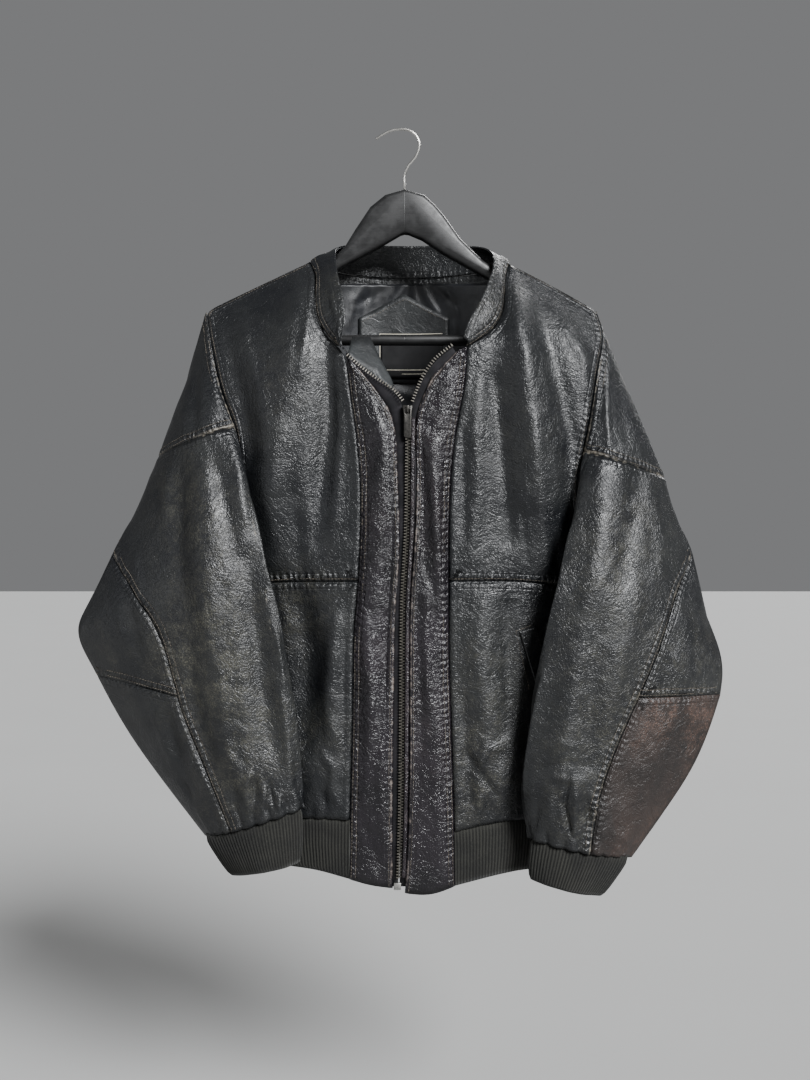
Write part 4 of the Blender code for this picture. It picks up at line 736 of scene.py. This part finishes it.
def linkUp(name, mesh, material, body=coat):
    thing = bpy.data.objects.new(name, mesh)
    bpy.context.scene.collection.objects.link(thing)
    mesh.materials.clear()
    mesh.materials.append(material)
    mesh.polygons.foreach_set("material_index", [0] * len(mesh.polygons))
    for face in mesh.polygons:
        face.use_smooth = True
    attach(thing, body)
    return thing


def wallCopy(nodeName, levels, rimAngle):
    # A merged copy of a wall in four-sided faces, its rims creased, then subdivided
    bm = bmesh.new()
    bm.from_mesh(nodes[nodeName].data)
    bmesh.ops.remove_doubles(bm, verts=bm.verts, dist=0.00001)
    crease = bm.edges.layers.float.new("crease_edge")
    for edge in bm.edges:
        if len(edge.link_faces) == 2 and edge.calc_face_angle() > math.radians(rimAngle):
            edge[crease] = 1.0
    bmesh.ops.join_triangles(bm, faces=bm.faces, angle_face_threshold=math.radians(40),
                             angle_shape_threshold=math.pi)
    rough = bpy.data.meshes.new("rough")
    bm.to_mesh(rough)
    bm.free()
    holder = bpy.data.objects.new("holder", rough)
    bpy.context.scene.collection.objects.link(holder)
    smooth = holder.modifiers.new("smooth", "SUBSURF")
    smooth.levels = smooth.render_levels = levels
    depsgraph = bpy.context.evaluated_depsgraph_get()
    mesh = bpy.data.meshes.new_from_object(holder.evaluated_get(depsgraph))
    bpy.data.objects.remove(holder)
    bpy.data.meshes.remove(rough)
    if "crease_edge" in mesh.attributes:
        mesh.attributes.remove(mesh.attributes["crease_edge"])
    return mesh


def readPoints(mesh):
    flat = np.empty(len(mesh.vertices) * 3, np.float32)
    mesh.vertices.foreach_get("co", flat)
    return flat.reshape(-1, 3).astype(float) / mm


def writePoints(mesh, points):
    mesh.vertices.foreach_set("co", (points * mm).astype(np.float32).ravel())
    mesh.update()


def writeValues(mesh, name, values):
    layer = mesh.attributes.new(name, "FLOAT", "POINT")
    layer.data.foreach_set("value", values.astype(np.float32))


def seamDistance(points, line, reach):
    # How far each point is from a seam, and how far along it
    samples, run = line
    tree = KDTree(len(samples))
    for k, sample in enumerate(samples):
        tree.insert(sample, k)
    tree.balance()
    low, high = samples.min(axis=0) - reach, samples.max(axis=0) + reach
    away, along, spots = np.full(len(points), 1e3), np.zeros(len(points)), points.copy()
    for i in np.nonzero(((points > low) & (points < high)).all(axis=1))[0]:
        _, k, distance = tree.find(points[i])
        away[i], along[i], spots[i] = distance, run[k], samples[k]
    return away, along, spots


def wobble(points, size, seed):
    return np.array([noise.noise(Vector(p) / size + Vector((seed, 0, 0))) for p in points])


def hump(away, at, wide):
    # one soft ridge that stands at a distance from a seam
    return np.exp(-((away - at) / wide) ** 2)


cloth = {}


def makeCloth(nodeName, kind, side, groups, seamRows, material, slotName, gather=None):
    # groups: the crease lists for the front and the back of this piece
    look = seamRelief
    mesh = wallCopy(nodeName, clothSettings["levels"], clothSettings["rimAngle"])
    points = readPoints(mesh)
    push = pushField(points, kind, side)
    front = np.clip(-push[:, 1] * 2.0, 0, 1) if kind != "back" else np.zeros(len(points))
    behind = np.clip(push[:, 1] * 2.0, 0, 1)
    height, scuff, wear = np.zeros(len(points)), np.zeros(len(points)), np.zeros(len(points))
    for share, group in ((front, groups[0]), (behind, groups[1])):
        if group:
            folds = creaseHeight(points[:, 0], points[:, 2], creases[group])
            height += share * clothSettings["foldDepth"] * folds
            # the pale line along a lit crease is painted highlight, added to the same mask as the wear
            wear += share * creaseHeight(points[:, 0], points[:, 2], paintedHighlightLines.get(group, []))
            spots = scuffs["patchRight"] if slotName == "leather_brown" else scuffs.get(group, [])
            scuff += share * scuffAmount(points[:, 0], points[:, 2], spots)
    height += clothSettings["unevenness"] * (wobble(points, 22.0, 3.0) + 0.5 * wobble(points, 9.0, 7.0))
    wear += np.clip(height - clothSettings["wornFrom"], 0, 2) * 0.06
    seamShare = np.ones(len(points))
    nearest, nearestAlong = np.full(len(points), 99.0), np.zeros(len(points))
    nearestPucker = np.zeros(len(points))
    for name, pucker, pitch, wornAndHighlight in seamRows:
        if name + side not in seams:
            continue
        line = seams[name + side]
        away, along, spots = seamDistance(points, line, look["reach"])
        if name.startswith(closedSeams["names"]):
            drawn = closedSeams["pull"] * np.exp(-(away / closedSeams["reach"]) ** 4)
            points += (spots - points) * drawn[:, None]
        endFade = np.clip(np.minimum(along, line[1][-1] - along) / look["endFade"], 0, 1)
        closer = away < nearest
        nearest[closer], nearestAlong[closer] = away[closer], along[closer]
        nearestPucker[closer] = pucker * endFade[closer]
        # uneven puckers, no two alike, that die out where the seam ends
        turns = along * (2 * math.pi / pitch) + 2.2 * np.sin(along / 17.0) + 1.3 * np.sin(along / 7.0)
        wave = 0.5 + 0.5 * np.sin(turns)
        strength = 0.55 + 0.45 * np.sin(along / 31.0 + len(name))
        height += -pucker * endFade * strength * wave * hump(away, look["puckerAt"], look["puckerWide"])
        height += look["ridge"] * hump(away, look["ridgeAt"], look["ridgeWide"])
        height -= look["roll"] * hump(away, 0.0, look["rollWide"])
        wear += wornAndHighlight * (hump(away, look["wornAt"], look["wornWide"]) + 0.45 * hump(away, 0.0, 5.0) * wave)
        seamShare = np.minimum(seamShare, 0.35 + 0.65 * np.clip(away / look["calm"], 0, 1))
    # high folds die down towards a seam
    height -= np.clip(height - clothSettings["highest"], 0, None) * (1 - seamShare)
    if gather:
        name, high, pitch, reach = gather
        away, along, _ = seamDistance(points, seams[name + (side if name == "cuffTop" else "")], 3 * reach)
        phase = along / pitch + 0.35 * np.sin(along / 23.0) + 0.1 * np.sin(away / 6.0)
        pinch = np.abs(np.sin(math.pi * phase)) ** 0.7 - 0.6
        fade = hump(away, 0.0, reach) * (0.7 + 0.3 * np.sin(along / 37.0))
        height += high * fade * (1.4 * pinch + 0.4)
        wear += 0.25 * fade * np.clip(pinch, 0, 1) * hump(away, 0.0, 8.0)
    writePoints(mesh, points + push * height[:, None])
    # the wear mask also holds the painted highlight of a lit crease
    for name, values in (("wear", np.clip(wear, 0, 1)), ("scuff", np.clip(scuff, 0, 1)), ("seamAway", nearest),
                         ("seamAlong", nearestAlong), ("pucker", nearestPucker)):
        writeValues(mesh, name, values)
    cloth[nodeName] = linkUp(nodeName + "_leather", mesh, material)
    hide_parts(nodeName)


for side in ("Left", "Right"):
    for part in pieceSeams:
        group, back = part.split("_")[0] + side, None
        finish = (blackLeather, "leather")
        if part == "front_band":
            group, finish = "band" + side, (bandLeather, "leather_band")
        elif part.startswith("sleeve"):
            back = group + "Back"
        if part == "sleeve_elbow_patch" and side == "Right":
            finish = (brownLeather, "leather_brown")
        makeCloth(part + "_" + side.lower(), part.split("_")[0], side, (group, back), pieceSeams[part], *finish,
                  pieceGathers.get(part))
print("fronts and sleeves ready")
backSeams = [("armBackLeft", 0.3, 11, 0.3), ("armBackRight", 0.3, 11, 0.3), ("sideLeft", 0.2, 12, 0.2),
             ("sideRight", 0.2, 12, 0.2), ("shoulderLeft", 0.2, 12, 0.25), ("shoulderRight", 0.2, 12, 0.25),
             ("neckBack", 0.3, 10, 0.0)]
makeCloth("back", "back", "", (None, "back"), backSeams, blackLeather, "leather", pieceGathers["back"])
collarSeams = [("neckLeft", 0.5, 8, 0.6), ("neckRight", 0.5, 8, 0.7), ("neckBack", 0.3, 10, 0.0),
               ("collarTop", 0.15, 9, 0.12)]
makeCloth("collar", "collar", "", ("collar", None), collarSeams, blackLeather, "leather")
print("back and collar ready")


# the knit, in millimetres: one rib every pitch, how much the band bulges and wanders and how deep it sits
ribSettings = {"pitch": 3.5, "depth": 1.1, "rows": 10, "perRib": 6, "wall": 2.2, "bulge": 1.6,
               "wander": 0.7, "inset": 1.2, "tuckUp": 3.0, "tuckIn": 1.5}


def evenLine(line, columns):
    # the same line in a wanted number of even steps
    share, given = np.linspace(0, 1, columns + 1), np.linspace(0, 1, len(line))
    return np.stack([np.interp(share, given, line[:, k]) for k in range(3)], axis=1)


def makeRibs(nodeName, topLine, bottomLine, closed):
    look = ribSettings
    steps = look["pitch"] / look["perRib"]
    top, run = smoothLine(topLine, steps, closed)
    count = int(round(run[-1] / look["pitch"]))
    columns = count * look["perRib"]
    top, bottom = evenLine(top, columns), evenLine(smoothLine(bottomLine, steps, closed)[0], columns)
    middle = (top.mean(axis=0) + bottom.mean(axis=0)) / 2
    bm = bmesh.new()
    bmesh.ops.create_grid(bm, x_segments=columns, y_segments=look["rows"], size=0.5, calc_uvs=True)
    uvLayer = bm.loops.layers.uv.verify()
    valleyShadeLayer = bm.verts.layers.float.new("valleyShade")
    tall = np.linalg.norm(top - bottom, axis=1)
    for vert in bm.verts:
        u, v = vert.co.x + 0.5, vert.co.y + 0.5
        column = int(round(u * columns))
        a, b = top[column], bottom[column]
        before, after = top[max(column - 1, 0)], top[min(column + 1, columns)]
        if closed and column in (0, columns):
            before, after = top[columns - 1], top[1]
        along = after - before
        out = np.cross(along, a - b)
        out /= max(np.linalg.norm(out), 1e-6)
        if np.dot(out, (a - middle) * (1, 1, 0)) < 0:
            out = -out
        rib = 0.5 + 0.5 * math.cos(u * count * 2 * math.pi)
        hem = min(1.0, v / 0.07, (1 - v) / 0.04)  # the ribs run out at both edges
        wander = look["wander"] * noise.noise(Vector((u * 14, v * 2.2, 5.0)))
        bulge = look["bulge"] * math.sin(math.pi * v)
        height = look["depth"] * (rib ** 0.7) * hem + bulge + wander - look["inset"]
        place = b + (a - b) * v + out * height + along * 0.25 * noise.noise(Vector((u * 40, v * 3.0, 1.0)))
        if v > 0.98:  # the top edge is tucked behind the leather
            place += (a - b) / np.linalg.norm(a - b) * look["tuckUp"] - out * look["tuckIn"]
        vert.co = Vector(place * mm)
        # how deep in a rib's hollow each point lies, for the painted shade there
        vert[valleyShadeLayer] = (1 - rib) ** 1.1 * hem
    for face in bm.faces:
        for loop in face.loops:
            corner = loop[uvLayer].uv
            loop[uvLayer].uv = (corner.x * count, corner.y * float(tall.mean()) * mm)
    if closed:
        bmesh.ops.remove_doubles(bm, verts=[v for v in bm.verts if v.is_boundary], dist=0.00002)
    bmesh.ops.recalc_face_normals(bm, faces=bm.faces)
    middleFace = max(bm.faces, key=lambda f: abs(f.calc_center_median().y - middle[1] * mm))
    if (middleFace.calc_center_median() - Vector(middle * mm)).dot(middleFace.normal) < 0:
        bmesh.ops.reverse_faces(bm, faces=bm.faces)
    bmesh.ops.solidify(bm, geom=bm.faces[:], thickness=look["wall"] * mm)
    mesh = bpy.data.meshes.new(nodeName + "_knit")
    bm.to_mesh(mesh)
    bm.free()
    mesh.uv_layers[0].name = "ribs"
    cloth[nodeName] = linkUp(nodeName + "_knit", mesh, ribWool)
    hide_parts(nodeName)


makeRibs("waistband", *waistLines, False)
for side in ("left", "right"):
    makeRibs("cuff_" + side, *cuffLines[side], True)
print("ribs ready")


def plainWear(mesh, wear, scuff):
    # the same wear all over and no seam near
    for name, value in (("wear", wear), ("scuff", scuff), ("seamAway", 99.0)):
        writeValues(mesh, name, np.full(len(mesh.vertices), value))


# small cloth parts: lining, label, facing, welts, tapes and neck patch
def makeTrim(nodeName, material, levels, unevenness, creaseRows=()):
    mesh = wallCopy(nodeName, levels, clothSettings["rimAngle"])
    points = readPoints(mesh)
    height = unevenness * (wobble(points, 16.0, 11.0) + 0.5 * wobble(points, 6.0, 2.0))
    height += creaseHeight(points[:, 0], points[:, 2], creaseRows)
    points[:, 1] -= height
    writePoints(mesh, points)
    plainWear(mesh, 0.0, 0.1)
    cloth[nodeName] = linkUp(nodeName + "_cloth", mesh, material)
    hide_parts(nodeName)


satinFolds = [([(6, -156), (-8, -176), (-30, -196)], 4, 1.9), ([(10, -156), (4, -182), (-6, -205)], 3, -1.6),
              ([(14, -156), (18, -180), (16, -200)], 3.5, 1.8), ([(22, -156), (34, -178), (48, -196)], 4, 2.0),
              ([(30, -156), (48, -170), (64, -182)], 3.5, -1.6),
              ([(-10, -156), (-30, -170), (-50, -180)], 4, -1.6),
              ([(-40, -158), (-52, -180), (-58, -205)], 4, 2.0),
              ([(-30, -158), (-40, -190), (-44, -225)], 4.5, -1.5),
              ([(52, -160), (60, -185), (60, -215)], 4, 1.8), ([(44, -180), (46, -210), (40, -240)], 4, -1.3),
              ([(-20, -262), (10, -268), (40, -262)], 5, -1.2), ([(-10, -275), (14, -280), (34, -275)], 5, 1.2)]
makeTrim("back_lining", satin, 3, 0.5, satinFolds)
makeTrim("label", labelWeave, 2, 0.2)
makeTrim("neck_patch", facingLeather, 2, 0.3)
makeTrim("front_facing_left", facingLeather, 2, 0.3)
for side in ("left", "right"):
    makeTrim("pocket_welt_" + side, blackLeather, 2, 0.2)
    makeTrim("zip_tape_" + side, tapeWeave, 1, 0.15)
print("linings and trims ready")


# the sewing, in millimetres: a stitch every pitch, pressed flat
# a row that comes nearer to its seam than this share of its distance has left the piece
threadLook = {"pitch": 3.4, "length": 2.6, "thick": 0.75, "sink": 0.16, "flat": 0.6, "drop": 0.1,
              "walk": 2.0, "share": 0.82}
surfaces = {}


def surfaceOf(nodeName):
    if nodeName not in surfaces:
        bm = bmesh.new()
        bm.from_mesh(cloth[nodeName].data)
        surfaces[nodeName] = BVHTree.FromBMesh(bm)
        bm.free()
    return surfaces[nodeName]


def runAt(samples, k):
    # which way a line runs at one of its points
    return Vector(samples[min(k + 1, len(samples) - 1)] - samples[max(k - 1, 0)])


def rowPlaces(surface, samples, offset, away):
    # where each stitch of a row lies, walking over the cloth from the seam: only those on this piece
    places = []
    steps = max(1, round(abs(offset) / threadLook["walk"]))
    for k in range(len(samples)):
        along = runAt(samples, k).normalized()
        outward = Vector(away(samples[k])).normalized()
        start, normal, _, _ = surface.find_nearest(Vector(samples[k] * mm), 0.02)
        if start is None:
            continue
        normal = (normal * 0.3 + outward).normalized()
        spot = start
        for _ in range(steps):
            pace = along.cross(normal).normalized() * offset / steps * mm
            spot, normal, _, _ = surface.find_nearest(spot + pace + normal * 0.0004)
            if normal.dot(outward) < 0:
                break
        if normal.dot(outward) > 0.05 and (spot - start).length > threadLook["share"] * abs(offset) * mm:
            places.append((spot, normal, along))
    return places


def stitchRow(bm, surface, line, offset, away):
    # one row of stitches beside a seam, on whichever side of it this piece lies
    look = threadLook
    samples, _ = smoothLine(line, look["pitch"])
    places = max((rowPlaces(surface, samples, sign * offset, away) for sign in (1, -1)), key=len)
    for hit, normal, along in places:
        along = (along - normal * along.dot(normal)).normalized()
        turn = Matrix((normal.cross(along), normal, along)).transposed().to_4x4()
        made = bmesh.ops.create_cone(bm, cap_ends=True, segments=6, radius1=look["thick"] * mm / 2,
                                     radius2=look["thick"] * mm / 2, depth=look["length"] * mm)["verts"]
        for vert in made:
            vert.co.x, vert.co.y = vert.co.x * look["flat"], vert.co.y * look["flat"] - look["drop"] * mm
        bmesh.ops.transform(bm, matrix=Matrix.Translation(hit + normal * look["sink"] * mm) @ turn, verts=made)


def outFrom(x, y):
    return lambda p: (p[0] - x, p[1] - y, 0.0)


def outOfSleeve(side):
    def away(p):
        x, y = armAt(side, p[2])
        return 0.5 * (p[0] - x), p[1] - y, 0.0
    return away


def sewSeam(name, nodeName, offsets, away):
    bm = bmesh.new()
    for offset in offsets:
        stitchRow(bm, surfaceOf(nodeName), seamLines[name], offset, away)
    mesh = bpy.data.meshes.new("stitches")
    bm.to_mesh(mesh)
    bm.free()
    sewnOn.setdefault(nodeName, []).append(linkUp("stitches_" + name + "_" + nodeName, mesh, thread))


sewnOn = {}  # what is sewn on each cloth piece
forward, backward = (lambda p: (0, -1, 0)), (lambda p: (0, 1, 0))
for side in ("Left", "Right"):
    low = side.lower()
    sleeveOut = outOfSleeve(side)
    for name, nodeName, offsets, away in (
            ("band", "front_band_", (2.2, 7.0), forward), ("lip", "front_band_", (4.0,), forward),
            ("chest", "front_upper_", (2.2,), forward), ("armFront", "sleeve_cap_", (2.4, 9.0), sleeveOut),
            ("armFront", "front_upper_", (3.0,), forward), ("cap", "sleeve_cap_", (2.2, 8.0), sleeveOut),
            ("elbow", "sleeve_front_", (2.2, 8.0), sleeveOut),
            ("elbowAcross", "sleeve_elbow_", (2.2, 8.0), sleeveOut),
            ("shoulder", "front_upper_", (3.0,), lambda p: (0, -1, 1)), ("armBack", "back", (3.0,), backward),
            ("side", "back", (3.0,), outFrom(8, 0))):
        sewSeam(name + side, nodeName + (low if nodeName != "back" else ""), offsets, away)
for name, nodeName, offsets, away in (
        ("neckLeft", "collar", (3.0, 7.0), outFrom(8, 0)), ("neckRight", "collar", (3.0, 7.0), outFrom(8, 0)),
        ("neckBack", "collar", (3.0,), outFrom(8, 0)), ("pocketTop", "front_lower_right", (0.5,), forward),
        ("pocketEdge", "front_lower_right", (0.5,), forward), ("patchLeft", "neck_patch", (0.5,), forward),
        ("patchRight", "neck_patch", (0.5,), forward)):
    sewSeam(name, nodeName, offsets, away)
print("sewing ready")


# the zip's teeth, in millimetres, and the line each row follows
zipLook = {"pitch": 3.1, "wide": 3.4, "tall": 1.5, "thick": 2.4, "narrow": 0.62, "apart": 0.9, "round": 0.22}
openTeeth = {
    "left": [(-53, -68.2, -253), (-37, -69.2, -267), (-22, -70.2, -278), (-6, -73.2, -289), (3, -76, -300)],
    "right": [(53, -68.2, -243), (36, -69.2, -257), (24, -70.2, -274), (17, -73.2, -290), (13, -76, -301)],
}
closedTeeth = [(8.5, -76.2, -318), (8, -78.2, -364), (7, -79.0, -431), (3, -79.2, -510), (2, -78.6, -616),
               (1, -76.0, -711), (-1, -70.6, -786)]


def placeTooth(bm, where, along, outward, lean):
    # a flat body with a narrower head that reaches over the middle
    along = along.normalized()
    across = along.cross(outward).normalized() * lean
    turn = Matrix((across, outward, along)).transposed().to_4x4()
    made = bmesh.ops.create_cube(bm, size=1.0)["verts"]
    for vert in made:
        x, y, z = vert.co
        narrow = zipLook["narrow"] if x > 0 else 1.0
        vert.co = Vector((x * zipLook["wide"], y * zipLook["thick"] * narrow, z * zipLook["tall"] * narrow))
    bmesh.ops.transform(bm, matrix=Matrix.Scale(mm, 4) @ Matrix.Translation(where) @ turn, verts=made)


def makeTeeth(name, line, sides, metal):
    # sides: 1 or -1 for a row that reaches to one side, both for a closed zip
    bm = bmesh.new()
    inward = Vector((0, 1, 0))
    samples, _ = smoothLine(line, zipLook["pitch"] / len(sides))
    for k in range(len(samples)):
        along, lean, where = runAt(samples, k), sides[k % len(sides)], Vector(samples[k])
        if len(sides) > 1:
            where += along.normalized().cross(inward) * lean * -zipLook["apart"]
        placeTooth(bm, where, along, inward, lean)
    bmesh.ops.recalc_face_normals(bm, faces=bm.faces)
    bmesh.ops.bevel(bm, geom=bm.edges[:], offset=zipLook["round"] * mm, segments=1, profile=0.5, affect="EDGES",
                    material=-1)
    mesh = bpy.data.meshes.new(name)
    bm.to_mesh(mesh)
    bm.free()
    linkUp(name, mesh, metal)
    for face in mesh.polygons:
        face.use_smooth = False


makeTeeth("zip_teeth_left", openTeeth["left"], (1,), toothMetal)
makeTeeth("zip_teeth_right", openTeeth["right"], (-1,), toothMetal)
makeTeeth("zip_teeth_closed", closedTeeth, (1, -1), closedMetal)


# the folded leather edge beside the teeth, in millimetres from their middle, and how worn it is
edgeStrip = {"from": 2.9, "to": 7.4, "high": 0.9, "over": 0.4, "wall": 1.0, "wear": 0.38, "scuff": 0.8}


def makeEdgeStrip():
    look = edgeStrip
    samples, _ = smoothLine(closedTeeth, 4.0)
    bm = bmesh.new()
    grid = bmesh.ops.create_grid(bm, x_segments=4, y_segments=len(samples) - 1, size=0.5)
    for vert in grid["verts"]:
        u, v = vert.co.x + 0.5, int(round((0.5 - vert.co.y) * (len(samples) - 1)))
        x, y, z = samples[v]
        crown = look["high"] * math.sin(math.pi * u) + 0.25 * noise.noise(Vector((u, z / 14, 0)))
        vert.co = Vector((x + look["from"] + (look["to"] - look["from"]) * u, y + look["over"] - crown, z)) * mm
    bmesh.ops.recalc_face_normals(bm, faces=bm.faces)
    if sum(f.normal.y for f in bm.faces) > 0:
        bmesh.ops.reverse_faces(bm, faces=bm.faces)
    bmesh.ops.solidify(bm, geom=bm.faces[:], thickness=look["wall"] * mm)
    mesh = bpy.data.meshes.new("zip_edge_strip")
    bm.to_mesh(mesh)
    bm.free()
    plainWear(mesh, look["wear"], look["scuff"])
    sewnOn["front_band_right"].append(linkUp("zip_edge_strip", mesh, bandLeather))


makeEdgeStrip()


def softEdged(nodeName, material, rounding, body=coat, smoothTo=35):
    # a hard piece of the frame with its sharp edges rounded by so many millimetres
    bm = bmesh.new()
    bm.from_mesh(nodes[nodeName].data)
    bmesh.ops.remove_doubles(bm, verts=bm.verts, dist=0.00001)
    bmesh.ops.dissolve_limit(bm, angle_limit=math.radians(1), verts=bm.verts, edges=bm.edges)
    sharp = [e for e in bm.edges if len(e.link_faces) == 2 and e.calc_face_angle() > math.radians(smoothTo)]
    bmesh.ops.bevel(bm, geom=sharp, offset=rounding * mm, segments=2, profile=0.5, affect="EDGES", material=-1,
                    clamp_overlap=True)
    mesh = bpy.data.meshes.new(nodeName + "_metal")
    bm.to_mesh(mesh)
    bm.free()
    thing = linkUp(nodeName + "_metal", mesh, material, body)
    mesh.set_sharp_from_angle(angle=math.radians(smoothTo))
    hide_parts(nodeName)


softEdged("zip_slider", sliderMetal, 0.35)
softEdged("zip_pull", sliderMetal, 0.25, pullBody)
softEdged("zip_box", boxMetal, 0.35)
print("zip ready")


# the label's plain woven border: from, to, how wide, in millimetres
borderLines = [((-22.6, -212), (47, -212), 0.8), ((-22.6, -212), (-22.6, -249), 0.8),
               ((-16, -251.8), (28, -251.8), 0.7), ((2, -256.3), (28, -256.3), 0.6)]
borderLift = 0.18


def makeBorder():
    surface = surfaceOf("label")
    bm = bmesh.new()
    for (x0, z0), (x1, z1), wide in borderLines:
        long = math.hypot(x1 - x0, z1 - z0)
        made = bmesh.ops.create_grid(bm, x_segments=int(long / 1.5), y_segments=1, size=0.5)["verts"]
        across = Vector((-(z1 - z0), x1 - x0)) / long * wide
        for vert in made:
            x = x0 + (x1 - x0) * (vert.co.x + 0.5) + across.x * vert.co.y
            z = z0 + (z1 - z0) * (vert.co.x + 0.5) + across.y * vert.co.y
            hit = surface.ray_cast(Vector((x * mm, -0.2, z * mm)), Vector((0, 1, 0)))[0]
            if hit is None:  # just past the label's edge
                hit = surface.find_nearest(Vector((x * mm, -0.05, z * mm)))[0]
            vert.co = Vector((x * mm, hit.y - borderLift * mm, z * mm))
    mesh = bpy.data.meshes.new("label_border")
    bm.to_mesh(mesh)
    bm.free()
    sewnOn["label"] = [linkUp("label_border", mesh, labelThread)]


makeBorder()
softEdged("hanger_board", woodPaint, 0.9, smoothTo=50)
softEdged("hanger_bar", woodPaint, 0.3, smoothTo=60)
softEdged("hanger_hook", hookSteel, 0.1, smoothTo=60)
print("label and hanger ready")
# the floor's height in metres and the strength of the surrounding light
studio = {"floor": -1.12, "size": 14.0, "world": 0.21, "sky": (0.93, 0.94, 0.96, 1.0)}
# broad far lights, as from windows: where from, aimed where, how wide in degrees, how strong, colour
lights = {
    "key": ((1.25, -1.75, 1.0), (0.0, 0.0, -0.45), 24, 8.8, (0.975, 0.985, 1.0)),
    "fill": ((-1.9, -1.2, 0.2), (0.0, 0.0, -0.5), 40, 0.55, (0.95, 0.97, 1.0)),
    "rim": ((0.8, 1.9, 0.9), (0.0, 0.0, -0.45), 30, 1.8, (1.0, 1.0, 1.0)),
}
bm = bmesh.new()
bmesh.ops.create_grid(bm, x_segments=1, y_segments=1, size=studio["size"])
bmesh.ops.translate(bm, verts=bm.verts, vec=(0, 0, studio["floor"]))
floorMesh = bpy.data.meshes.new("floor")
bm.to_mesh(floorMesh)
bm.free()
floor = bpy.data.objects.new("floor", floorMesh)
bpy.context.scene.collection.objects.link(floor)
floorPaint, floorTree, floorShader = startMaterial("floor_pale")
cloudy = noiseOf(floorTree, objectPlace(floorTree), 3.0)
pale = mixColour(floorTree, cloudy, (0.29, 0.29, 0.286), (0.305, 0.305, 0.301))
floorTree.links.new(pale, floorShader.inputs["Base Color"])
floorShader.inputs["Roughness"].default_value = 0.8
floorMesh.materials.append(floorPaint)

world = bpy.data.worlds.new("studio")
bpy.context.scene.world = world
world.use_nodes = True
sky = world.node_tree.nodes["Background"]
sky.inputs["Color"].default_value, sky.inputs["Strength"].default_value = studio["sky"], studio["world"]
for name, (place, aim, wide, power, colour) in lights.items():
    data = bpy.data.lights.new(name, "SUN")
    data.angle, data.energy, data.color = math.radians(wide), power, colour
    lamp = bpy.data.objects.new(name, data)
    lamp.location = place
    lamp.rotation_euler = (Vector(aim) - Vector(place)).to_track_quat("-Z", "Y").to_euler()
    bpy.context.scene.collection.objects.link(lamp)
print("studio ready")

view = bpy.data.cameras.new("view")
view.lens, view.sensor_width = 38.6, 36.0
eye = bpy.data.objects.new("view", view)
eye.location = (0.0054, -1.250, -0.442)
eye.rotation_euler = (math.radians(90), 0, 0)
bpy.context.scene.collection.objects.link(eye)
bpy.context.scene.camera = eye
